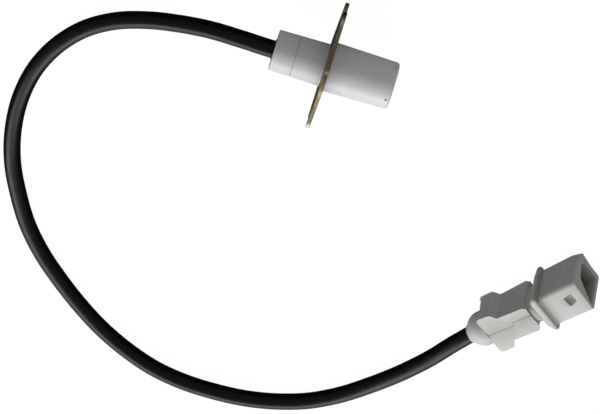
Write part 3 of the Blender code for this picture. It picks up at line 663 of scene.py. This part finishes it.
def rear_cap(place):
    """Cap that holds the lead: rounded rear rim and a seat for the gland."""
    front = CAP_LINE_X - PART_LINE / 2
    radius_front = draft(REAR_R, front, REAR_X)
    bore_rear, bore_front = ANCHOR_BORE_X
    profile = [(bore_rear, CORD_BORE_R), (REAR_X + 1.0, CORD_BORE_R), (REAR_X + 1.0, GLAND_BORE_R),
               (REAR_X + 0.1, GLAND_BORE_R)]
    profile += arc(REAR_X + 0.1, GLAND_BORE_R + 0.1, 0.1, 270, 180, 3)[1:]
    profile += arc(REAR_X + 0.35, REAR_R - 0.35, 0.35, 180, 90, 8)
    profile += arc(front - 0.10, radius_front - 0.10, 0.10, 90, 0, 3)
    profile += [(front, SPIGOT_R), (bore_front, SPIGOT_R), (bore_front, ANCHOR_BORE_R),
                (bore_rear, ANCHOR_BORE_R)]

    # Darker along the joint with the rear body; painted shade round the rear rim where the gland sits.
    def shade_and_grime(p):
        return 0.14 * bell(p.x - front, 0.16) + 0.12 * bell(p.x - REAR_X, 0.35)
    piece("cap_rear", turned(profile), place, "head_plastic", "probe", ("rear_cap",),
          marks={"shade_and_grime": shade_and_grime})


def cord_gland(place):
    """Rubber gland: a low dome with a thin lip that hugs the sheath."""
    base = REAR_X + 0.7
    proud = REAR_X + 0.05
    profile = [(base, 2.75), (proud - 0.25, 2.72), (proud - 0.3, 2.85), (proud - 0.2, 3.1),
               (proud, 3.35), (proud + 0.02, 4.2)]
    profile += arc(proud + 0.32, 4.4, 0.3, 180, 90, 6) + [(base, 4.75)]
    piece("gland", turned(profile, 96), place, "seal_rubber", "probe", ("cord_gland",))


FLANK_STEPS = 24               # points along each flat flank, for the marks of worn metal, painted glints and painted shade to fade between
HOLE_R = 5.35


def flange_outline():
    """Oval plate with a flat flank from its middle to each end, open fixing slots in both ends."""
    half_length = 22.0
    end_r = 4.6
    middle_r = 12.0
    slot = 2.25
    slot_y = 17.0
    end_y = half_length - end_r
    lean = math.degrees(math.acos((middle_r - end_r) / end_y))
    tip = math.degrees(math.asin((slot + 0.35) / end_r))
    edge = arc(end_y, 0.0, end_r, -lean, -tip, 14)
    mouth_u = edge[-1][0]
    lip = [(mouth_u + 0.10, -slot - 0.22), (mouth_u - 0.02, -slot - 0.06), (mouth_u - 0.25, -slot)]
    edge += lip + arc(slot_y, 0.0, slot, 270, 90, 20)
    edge += [(u, -v) for u, v in reversed(lip)]
    edge += arc(end_y, 0.0, end_r, tip, lean, 14)
    top = arc(0.0, 0.0, middle_r, lean, 180 - lean, 30)
    inner = Vector(top[0])
    flank = [tuple(Vector(edge[-1]).lerp(inner, k / FLANK_STEPS)) for k in range(1, FLANK_STEPS)]
    half = edge + flank + top + [(-u, v) for u, v in reversed(flank)]
    return half + [(-u, -v) for u, v in half]


def flange(place):
    """Pressed plate: its edge is rolled over at the rear and sheared, with a slight step, in front."""
    outline = flange_outline()
    front, rear = FLANGE_FACE_X, FLANGE_FACE_X - FLANGE_THICK
    steps = ((rear, -0.30), (rear + 0.03, -0.14), (rear + 0.12, -0.03), (rear + 0.28, 0.0),
             (front - 0.42, 0.0), (front - 0.40, -0.035), (front - 0.10, -0.04), (front, -0.12))
    plate = loft([along_x(offset(outline, grow), x) for x, grow in steps])
    hole = [(x, HOLE_R + grow) for x, grow in
            ((rear - 1.0, -HOLE_R), (rear - 1.0, 0.25), (rear, 0.25), (rear + 0.25, 0.0),
             (front - 0.12, 0.0), (front, 0.12), (front + 1.0, 0.12), (front + 1.0, -HOLE_R))]
    bm = carve(plate, [turned(hole, 96)])

    # Bright metal on the rubbed edges, and painted glints at three spots on the rim.
    def wear_and_glints(p):
        edge = min(abs(p.x - front), abs(p.x - rear))
        rubbed = 0.30 * bell(edge, 0.06) if math.hypot(p.y, p.z) > 5.6 else 0.1
        painted_glints = ((5.0, 0.45, 0.7), (18.6, 0.9, 0.55), (-19.8, 0.9, 0.9))
        on_rim = 1.0 if p.z > 0.5 and p.x > rear + 0.1 else 0.0
        return max([rubbed] + [on_rim * glint_strength * bell(p.y - y, width) for y, width, glint_strength in painted_glints])

    # Painted shade: near black on the rear face's near half and on the near tip, and dimmer along the
    # middle of the rim to damp the lamp's reflection.
    def painted_shade(p):
        behind = 0.9 if p.x < rear + 0.05 and p.y > 3.0 else 0.0
        tip = 1.0 / (1.0 + math.exp(-(p.y - 20.4) / 0.15))
        middle = 0.55 * bell(p.y + 1.0, 3.2) if p.y > -1.0 else 0.35
        return max(behind, tip, middle)

    def rust(p):
        return 0.7 * bell(p.y - 8.6, 1.8)
    piece("flange_pressing", bm, place, "yellow_zinc", "flange", ("flange_plate",), 28.0,
          {"wear_and_glints": wear_and_glints, "painted_shade": painted_shade, "rust": rust})


def window_parts(place):
    """Bezel with its snap lugs, and the domed window that it holds."""
    bezel = arc(17.35, 5.35, 0.35, 90, 0, 5) + arc(17.0, 4.7, 0.6, 0, -60, 6)[1:]
    bezel += [(16.0, 4.4), (16.0, 5.7)]
    lugs = []
    for angle in SNAP_ANGLES:
        lug = rod((SNAP_X, 5.4, 0.0), (SNAP_X, 6.35, 0.0), 0.36, 20)
        turn = Matrix.Rotation(math.radians(angle), 4, "X")
        bmesh.ops.transform(lug, matrix=turn, verts=lug.verts)
        lugs.append(lug)
    ring = carve(turned(bezel, 96), joins=lugs)
    piece("bezel_ring", ring, place, "head_plastic", "probe", ("window_bezel",))
    rim_x, dome_rise, dome_r = 15.7, 1.0, 4.1
    lens = [(14.3, 0.0), (14.3, 5.5), (14.5, 5.7), (rim_x - 0.15, 5.7), (rim_x, 5.55), (rim_x, 4.15)]
    lens += [(rim_x + dome_rise * math.cos(math.radians(a)), dome_r * math.sin(math.radians(a)))
             for a in range(84, 0, -6)] + [(rim_x + dome_rise, 0.0)]
    piece("window_lens", turned(lens, 96), place, "window_glass", "probe", ("sensor_window",))


def photocell(place):
    """Flat can with a stepped front."""
    can = [(10.3, 0.0), (10.3, 2.45), (10.45, 2.6), (11.15, 2.6), (11.3, 2.45), (11.3, 2.3),
           (12.15, 2.3), (12.3, 2.15), (12.3, 0.0)]
    piece("cell_disc", turned(can, 72), place, "cell_body", "probe", ("photocell",))


def cell_track(place):
    """The electrode that runs to and fro across the cell's face."""
    rows, pitch, half_span, half_width = 7, 0.5, 1.55, 0.09
    track = []
    for row in range(rows):
        y = (row - (rows - 1) / 2) * pitch
        reach = math.sqrt(max(0.1, half_span ** 2 - y ** 2)) * (-1) ** row
        track += [(y, -reach), (y, reach)]
    ways = [(Vector(b) - Vector(a)).normalized() for a, b in zip(track, track[1:])]
    left, right = [], []
    for point, before, after in zip(track, ways[:1] + ways, ways + ways[-1:]):
        square = Vector((-after.y, after.x))
        mitre = (Vector((-before.y, before.x)) + square).normalized()
        mitre = mitre / max(0.5, mitre.dot(square)) * half_width
        left.append(tuple(Vector(point) + mitre))
        right.append(tuple(Vector(point) - mitre))
    ribbon = loft([along_x(left + right[::-1], x) for x in (12.26, 12.36)])
    piece("cell_track", ribbon, place, "tinned_metal", "probe")


# ======================== plug
BLOCK_LENGTH = 13.4            # from the open face at x = 0 back to the collar
BLOCK_HALF = (5.7, 7.5)        # half width and half height, as for the collar and the neck
BLOCK_DROP = 0.8               # fall of the bottom towards the open face
BLOCK_TILT = 0.65              # rise of the top's far edge at the open face
COLLAR_HALF = (6.7, 8.5)
COLLAR_REAR_X = -14.4
SKIRT_LENGTH = 2.0             # the collar's rear falls away
SKIRT_DROP = 1.4
SWEEP_LENGTH = 1.6             # the block's top curves up to the collar
SWEEP_RISE = 0.9
NECK_HALF = (2.7, 4.7)
NECK_END_X = -24.0
CORNER_REACH = (1.0, 1.1)      # the near lower corner of the rim: how far forward, how far inward
CORNER_FADE = 2.5
# keyed mouth, in Y and Z
MOUTH = [(3.3, -4.4), (2.65, 1.9), (-3.3, 6.75), (-4.5, 6.75), (-4.5, -6.5), (1.9, -6.5)]
MOUTH_DEPTH = 11.4
# shallow recess in the top, in X and Y
LATCH = [(-6.1, 1.95), (-5.55, -1.25), (-2.95, -0.3), (-3.1, 2.8)]
LATCH_DEPTH = 0.45
CONTACT_Z = (-2.2, 2.2)


def block_section(x, inset=0.0):
    """The block's outline at a station, with its draft and its top's sweep up to the collar."""
    share = max(0.0, 1 + x / BLOCK_LENGTH)
    near_collar = -x - (BLOCK_LENGTH - SWEEP_LENGTH)
    sweep = min(1.0, max(0.0, near_collar / SWEEP_LENGTH)) ** 1.4
    half_y, half_z = BLOCK_HALF
    fade = max(0.0, min(1.0, 1 + x / CORNER_FADE))
    outline = rounded_rectangle(half_y - inset, half_z - inset, 1.15 - inset, 10)
    moved = []
    for y, z in outline:
        lean = max(-1.0, min(1.0, z / half_z))
        if z > 0:
            far = (half_y - y) / (2 * half_y)
            moved.append((x, y, z + (share * BLOCK_TILT * far + SWEEP_RISE * sweep) * lean))
        else:
            reach = fade * (max(0.0, y / half_y) * -lean) ** 2
            moved.append((x + CORNER_REACH[0] * reach, y - CORNER_REACH[1] * reach,
                          z + share * BLOCK_DROP * lean))
    return moved


def collar_section(x, inset, corner=1.0):
    """The collar's outline at a station, so many millimetres inside its widest."""
    outline = rounded_rectangle(COLLAR_HALF[0] - inset, COLLAR_HALF[1] - inset, corner, 10)
    return along_x(outline, x)


def block_loops(skirt_x):
    """Sections from the open face back over the collar and its skirt to the end of the neck."""
    rim = 0.4
    loops = []
    for angle in (90, 68, 45, 22, 0):
        a = math.radians(angle)
        loops.append(block_section(-rim + rim * math.sin(a), rim * (1 - math.cos(a))))
    loops += [block_section(x) for x in (-2.5, -5.0, -7.5, -10.0)]
    loops += [block_section(-BLOCK_LENGTH + SWEEP_LENGTH * (1 - t)) for t in
              (0.12, 0.3, 0.45, 0.6, 0.72, 0.82, 0.9, 0.96, 1.0)]
    bead = 0.3
    for angle in (90, 60, 30, 0):
        a = math.radians(angle)
        loops.append(collar_section(-BLOCK_LENGTH - bead * (1 - math.sin(a)), bead * (1 - math.cos(a))))
    for t, fall in ((0.0, 0.0), (0.10, 0.03), (0.22, 0.12), (0.5, 0.48), (0.8, 0.80), (0.93, 0.93),
                    (1.0, 1.0)):
        loops.append(collar_section(COLLAR_REAR_X - SKIRT_LENGTH * t, SKIRT_DROP * fall))
    loops.append(collar_section(skirt_x - 0.1, SKIRT_DROP + 0.22, 0.9))
    for x, grow in ((skirt_x - 0.12, 0.6), (skirt_x - 0.25, 0.2), (skirt_x - 0.5, 0.0),
                    (NECK_END_X, 0.0)):
        loops.append(along_x(rounded_rectangle(NECK_HALF[0] + grow, NECK_HALF[1] + grow, 1.5, 10), x))
    return loops


def plug_block(place):
    """Open block, keyed mouth, latch recess, ridged collar and the neck that the shells grip."""
    skirt_x = COLLAR_REAR_X - SKIRT_LENGTH
    mouth = filleted(MOUTH, 0.5)
    lip = ((-0.4, 0.0), (-0.22, 0.05), (-0.09, 0.16), (-0.01, 0.36), (2.0, 0.38))
    walls = [(x, 0.0) for x in (-MOUTH_DEPTH, -8.0, -6.5, -5.0, -4.0, -3.0, -2.0, -1.0)]
    mouth_tool = loft([along_x(offset(mouth, grow), x) for x, grow in (*walls, *lip)])
    latch_x, latch_y = (sum(p[k] for p in LATCH) / len(LATCH) for k in (0, 1))
    top = BLOCK_HALF[1] + 0.5 * BLOCK_TILT * (1 + latch_x / BLOCK_LENGTH)
    latch = filleted(LATCH, 0.55)
    flare = ((-LATCH_DEPTH, -0.45), (-LATCH_DEPTH + 0.1, -0.25), (-0.2, -0.04), (-0.08, 0.12),
             (0.0, 0.3), (0.5, 0.7))
    latch_tool = loft([along_z(offset(latch, grow), top + rise) for rise, grow in flare])
    panel = filleted([(-5.0, -4.2), (-1.4, -4.2), (-1.4, 0.6), (-5.0, 0.6)], 0.5)
    side = BLOCK_HALF[0]
    panel_tool = loft([[(x, y, z) for x, z in offset(panel, grow)]
                       for y, grow in ((side - 0.25, -0.3), (side - 0.2, -0.1), (side + 0.4, 0.6))])
    pocket = box((NECK_END_X - 1, -1.8, -3.8), (-MOUTH_DEPTH - 1.5, 1.8, 3.8))
    tools = [mouth_tool, latch_tool, panel_tool, pocket]
    for z in CONTACT_Z:
        tools.append(box((-MOUTH_DEPTH - 2.5, -1.5, z - 0.7), (-MOUTH_DEPTH + 1.0, 1.5, z + 0.7)))
    bm = carve(loft(block_loops(skirt_x)), tools)

    # Painted shade: on the slope in front of the collar's ridge, at the skirt's foot, deepening into
    # the mouth, and on the latch recess's floor.
    def shade_and_grime(p):
        shaded_slope = 0.42 * bell(p.x + BLOCK_LENGTH, 0.75)
        # painted shade at the foot of the skirt
        rear = 0.15 * bell(p.x - skirt_x, 0.3)
        inside = -MOUTH_DEPTH - 0.5 < p.x < -0.6 and abs(p.y) < 4.6 and -6.7 < p.z < 6.85
        mouth_shade = min(0.95, 0.17 * (-p.x - 0.4)) if inside else 0.0
        in_latch = abs(p.x - latch_x) < 1.9 and abs(p.y - latch_y) < 2.2
        latch_shade = 0.85 if in_latch and top - LATCH_DEPTH - 0.1 < p.z < top - 0.1 else 0.0
        return max(shaded_slope, rear, mouth_shade, latch_shade)
    piece("plug_block", bm, place, "plug_plastic", "probe", ("plug_housing",), 30.0, {"shade_and_grime": shade_and_grime})


def contact(place, letter, z):
    """Blade with coined edges and a folded crimp barrel with its seam."""
    tip, rear, half_width = -6.0, -19.0, 1.2
    blade_outline = [(rear, -half_width), (tip - 1.0, -half_width), (tip, -0.55), (tip, 0.55),
                     (tip - 1.0, half_width), (rear, half_width)]
    blade_outline = filleted(blade_outline, [0.0, 0.3, 0.2, 0.2, 0.3, 0.0], 4)
    blade = loft([along_z(offset(blade_outline, grow), z + h)
                  for h, grow in ((-0.4, -0.22), (-0.2, 0.0), (0.2, 0.0), (0.4, -0.22))])
    barrel_outline = rounded_rectangle(1.4, 1.2, 0.7, 5, 2)
    barrel = loft([[(x, y, z + h) for y, h in offset(barrel_outline, grow)]
                   for x, grow in ((-20.0, -0.12), (-19.85, 0.0), (-13.35, 0.0), (-13.2, -0.12))])
    seam = box((-20.5, -0.07, z + 0.95), (-13.0, 0.07, z + 2.0))
    piece("tab_" + letter, carve(blade, [seam], [barrel]), place, "contact_brass", "probe",
          ("contact_" + letter,))


def neck_band(place):
    """Oval ring: its front slopes up from the neck and its rear edge is round."""
    loops = []
    for x, half_y, half_z in ((-16.85, 3.3, 5.3), (-16.95, 3.6, 5.55), (-17.3, 3.98, 5.9),
                              (-17.5, 4.07, 5.97), (-17.75, 4.1, 6.02), (-18.6, 4.1, 6.1),
                              (-19.0, 4.08, 6.15), (-19.12, 3.98, 6.05)):
        loops.append(along_x(rounded_rectangle(half_y, half_z, min(3.0, half_y - 0.05), 10), x))
    hole = rounded_rectangle(NECK_HALF[0] + 0.06, NECK_HALF[1] + 0.06, 1.5)
    bm = carve(loft(loops), [loft([along_x(hole, -20.0), along_x(hole, -15.0)])])

    # Painted shade at both ends of the band, where it meets the neck and the shells.
    def shade_and_grime(p):
        return 0.16 * bell(p.x + 16.9, 0.4) + 0.14 * bell(p.x + 19.1, 0.25)
    piece("band", bm, place, "plug_plastic", "probe", ("neck_band",), marks={"shade_and_grime": shade_and_grime})


SHELL_FRONT_X = -19.2
SHELL_REAR_X = -35.5
SHELL_HALF_W = 4.6
SHELL_HALF_H = 6.65            # at the front
SHELL_TAPER = 0.085            # loss of half height per millimetre towards the lead
SHELL_LEAN = 0.55              # how much the near side leans in at its top
LUG_HALF_W = 7.1
LUG_FOOT_X = -29.5
LUG_X = (-31.0, -34.8)
SEAM_REAR_Y = -0.1             # where the seam runs behind its step,
SEAM_FRONT_Y = 1.0             # and in front of it
SEAM_STEP_X = (-25.9, -25.65)
SEAM_GAP = 0.24
SEAM_EDGE = 0.24               # rounding of the edges along the seam,
OUTER_EDGE = 0.42              # and of all the others
GROOVE_X = (-35.1, -33.0)      # seat of the entry sleeve's collar
THROAT_X = -32.0
CAVITY_X = -32.5
SLEEVE_SPIGOT_R = 3.9
SLEEVE_COLLAR_R = 4.5
SLEEVE_FRONT_X = -35.6


def shell_outline(side):
    """Half shell seen from above as (points, edge rounding): outer side round, seam side crisp."""
    outer = [
        (SHELL_FRONT_X, SHELL_HALF_W - 0.6, 0.2), (SHELL_FRONT_X - 0.55, SHELL_HALF_W - 0.5, 0.12),
        (SHELL_FRONT_X - 0.75, SHELL_HALF_W, 0.2), (LUG_FOOT_X, SHELL_HALF_W, 0.9),
        (LUG_X[0], LUG_HALF_W - 0.25, 0.8), (LUG_X[1], LUG_HALF_W, 0.35),
        (SHELL_REAR_X, LUG_HALF_W - 0.6, 0.25),
    ]
    shift = side * SEAM_GAP / 2
    seam = [
        (SHELL_REAR_X, side * SEAM_REAR_Y + side * shift, 0.0),
        (SEAM_STEP_X[0] - shift, side * SEAM_REAR_Y + side * shift, 0.0),
        (SEAM_STEP_X[1] - shift, side * SEAM_FRONT_Y + side * shift, 0.0),
        (SHELL_FRONT_X, side * SEAM_FRONT_Y + side * shift, 0.0),
    ]
    corners = [(x, y) for x, y, _ in outer + seam]
    radii = [r for _, _, r in outer + seam]
    outline = filleted(corners, radii, 8)
    seam_points = [Vector(p[:2]) for p in seam]
    rounding = []
    for point in outline:
        on_seam = min((Vector(point) - q).length for q in seam_points) < 0.01
        rounding.append(SEAM_EDGE if on_seam else OUTER_EDGE)
    return [(x, side * y) for x, y in outline], rounding


def shell(place, name, side, node):
    """Handed clamshell half with its grip lug, edges rounded above and below."""
    outline, rounding = shell_outline(side)
    if side > 0:
        outline, rounding = outline[::-1], rounding[::-1]
    turns = [math.radians(angle) for angle in (-90, -84, -65, -40, -18, 0)]
    rings = []
    for end, a in [(-1, a) for a in turns] + [(1, -a) for a in reversed(turns)]:
        ring = offset(outline, [-r * (1 - math.cos(a)) for r in rounding])
        if side > 0:
            lean = SHELL_LEAN * (end + 1) / 2
            ring = [(x, y - lean * max(0.0, y - SEAM_FRONT_Y) / SHELL_HALF_W) for x, y in ring]
        rings.append([(x, y, end * (SHELL_HALF_H - SHELL_TAPER * (SHELL_FRONT_X - x)
                                    - r * (1 - abs(math.sin(a)))))
                      for (x, y), r in zip(ring, rounding)])
    cavity = box((CAVITY_X, -NECK_HALF[0] - 0.3, -NECK_HALF[1] - 0.3),
                 (SHELL_FRONT_X + 1, NECK_HALF[0] + 0.3, NECK_HALF[1] + 0.3))
    groove_r, throat_r = SLEEVE_COLLAR_R + 0.2, SLEEVE_SPIGOT_R + 0.2
    groove = turned([(GROOVE_X[0], 0.0), (GROOVE_X[0], groove_r), (GROOVE_X[1], groove_r),
                     (GROOVE_X[1], 0.0)], 48)
    throat = turned([(SHELL_REAR_X - 1, 0.0), (SHELL_REAR_X - 1, throat_r), (THROAT_X, throat_r),
                     (THROAT_X, 0.0)], 48)
    bm = carve(loft(rings), [cavity, groove, throat])

    # Darker along the seam; painted shade at the front edge, where the shell meets the band.
    def shade_and_grime(p):
        seam_y = SEAM_REAR_Y if p.x < SEAM_STEP_X[1] else SEAM_FRONT_Y
        return 0.42 * bell(p.y - seam_y, 0.42) + 0.12 * bell(p.x - SHELL_FRONT_X, 0.4)
    piece(name, bm, place, "plug_plastic", "probe", (node,), 30.0, {"shade_and_grime": shade_and_grime})


def entry_sleeve(place):
    """Cable entry: drum, shoulder and dome down to a lip round the sheath, collar hidden inside."""
    outer = [(-42.5, 2.76), (-42.7, 2.8), (-42.85, 2.9), (-42.8, 3.05), (-42.6, 3.15), (-42.35, 3.25),
             (-42.1, 3.45), (-41.7, 3.85), (-41.3, 4.25), (-40.9, 4.55), (-40.5, 4.8), (-40.0, 5.08),
             (-39.5, 5.3), (-39.0, 5.42), (-38.4, 5.5), (-35.9, 5.5), (-35.7, 5.42),
             (SLEEVE_FRONT_X, 5.25)]
    collar_rear, collar_front = GROOVE_X[0] + 0.2, GROOVE_X[1] - 0.2
    hidden = [(SLEEVE_FRONT_X, SLEEVE_SPIGOT_R), (collar_rear, SLEEVE_SPIGOT_R),
              (collar_rear, SLEEVE_COLLAR_R), (collar_front, SLEEVE_COLLAR_R), (collar_front, 2.8),
              (-42.3, 2.74)]

    # Painted shade at the lip round the lead and where the sleeve meets the shells.
    def shade_and_grime(p):
        return 0.15 * bell(p.x + 42.3, 0.3) + 0.20 * bell(p.x - SLEEVE_FRONT_X, 0.3)
    piece("entry_boss", turned(outer + hidden, 96), place, "plug_plastic", "probe", ("entry_sleeve",),
          40.0, {"shade_and_grime": shade_and_grime})


# ======================== inner CAD pieces that stay
KEPT = {
    "window_seal": "seal_rubber", "body_seal": "seal_rubber", "cord_anchor": "seal_rubber",
    "cell_holder": "grey_plastic", "terminal_lock": "grey_plastic",
    "cell_lead_a": "tinned_metal", "cell_lead_b": "tinned_metal",
    "splice_brown": "tinned_metal", "splice_blue": "tinned_metal",
    "head_core_brown": "brown_core", "head_core_blue": "blue_core",
    "plug_core_brown": "brown_core", "plug_core_blue": "blue_core",
}


def finish_kept_nodes():
    """These nodes keep their CAD meshes and only get their materials."""
    for name, look in KEPT.items():
        node = frame["nodes"][name]
        node.data.materials.clear()
        node.data.materials.append(materials[look])


# ======================== stage
def add_floor():
    """Pale floor that stays almost white under the part."""
    s = Shader("floor")
    tone = s.mix(s.spread(s.noise(6.0, 2.0), 0.0, 1.0), (0.10, 0.10, 0.10), (0.09, 0.09, 0.095))
    s.set(Base_Color=tone, Roughness=0.9, Emission_Color=(1.0, 1.0, 1.0, 1.0), Emission_Strength=0.97,
          Specular_IOR_Level=0.0)
    bm = bmesh.new()
    bmesh.ops.create_grid(bm, x_segments=1, y_segments=1, size=3.0)
    floor = raw_object("floor", bm)
    floor.data.materials.append(s.material)
    floor.visible_diffuse = False
    floor.visible_glossy = False
    floor.location.z = -0.00005


def add_sky():
    """White to the camera; to the part an even sky with one brighter side.

    What its glossy surfaces mirror is a dark ground, a pale sky and a bright wall at -Y.
    """
    world = bpy.data.worlds.new("sky")
    scene.world = world
    world.use_nodes = True
    sky = Nodes(world.node_tree)
    direction = sky.node("ShaderNodeTexCoord").outputs["Generated"]
    seen = sky.node("ShaderNodeLightPath").outputs

    def facing(way):
        node = sky.node("ShaderNodeVectorMath")
        node.operation = "DOT_PRODUCT"
        sky.feed(node.inputs[0], direction)
        sky.feed(node.inputs[1], way)
        return node.outputs["Value"]

    height = sky.node("ShaderNodeSeparateXYZ", Vector=direction).outputs["Z"]
    ramp = sky.node("ShaderNodeValToRGB", Fac=height)
    ground, above = ramp.color_ramp.elements
    ground.position, ground.color = 0.0, (0.10, 0.10, 0.105, 1.0)
    above.position, above.color = 0.25, (0.985, 0.99, 1.0, 1.0)
    wall = sky.spread(facing((0.0, -0.985, 0.17)), 0.0, 1.0, 0.72, 0.93)
    mirrored = sky.mix(wall, ramp.outputs["Color"], (3.6, 3.75, 3.9))
    even = sky.spread(facing((0.80, 0.30, 0.52)), 0.62, 1.45, -1.0, 1.0)
    lighting = sky.node("ShaderNodeBackground", Strength=0.245,
                        Color=sky.mix(seen["Is Glossy Ray"], even, mirrored))
    backdrop = sky.tree.nodes["Background"]
    backdrop.inputs["Color"].default_value = (1.0, 1.0, 1.0, 1.0)
    either = sky.node("ShaderNodeMixShader", Fac=seen["Is Camera Ray"])
    sky.feed(either.inputs[1], lighting.outputs[0])
    sky.feed(either.inputs[2], backdrop.outputs[0])
    sky.feed(sky.tree.nodes["World Output"].inputs["Surface"], either.outputs[0])


def add_key():
    """One large soft light from the -Y side."""
    data = bpy.data.lights.new("key", "AREA")
    data.shape = "RECTANGLE"
    data.size = 2.0
    data.size_y = 0.55
    data.energy = 15.0
    key = bpy.data.objects.new("key", data)
    toward = Vector((-0.04, -0.78, 0.62)).normalized()
    middle = Vector((0.0, -0.06, 0.0))
    key.location = middle + toward * 1.2
    key.rotation_mode = "QUATERNION"
    key.rotation_quaternion = toward.to_track_quat("Z", "Y")
    scene.collection.objects.link(key)


# ======================== assembly
add_camera()
materials = make_materials()
PLUG = plug_place()
PROBE = probe_place()

lead, lead_path, lead_length = add_cord()
front_barrel(PROBE)
rear_body(PROBE)
rear_cap(PROBE)
cord_gland(PROBE)
flange(PROBE)
window_parts(PROBE)
photocell(PROBE)
cell_track(PROBE)
plug_block(PLUG)
for contact_letter, contact_z in zip("ab", CONTACT_Z):
    contact(PLUG, contact_letter, contact_z)
neck_band(PLUG)
shell(PLUG, "grip_near", 1, "shell_near")
shell(PLUG, "grip_far", -1, "shell_far")
entry_sleeve(PLUG)
finish_kept_nodes()
add_floor()
add_sky()
add_key()
scene.view_settings.view_transform = "Standard"
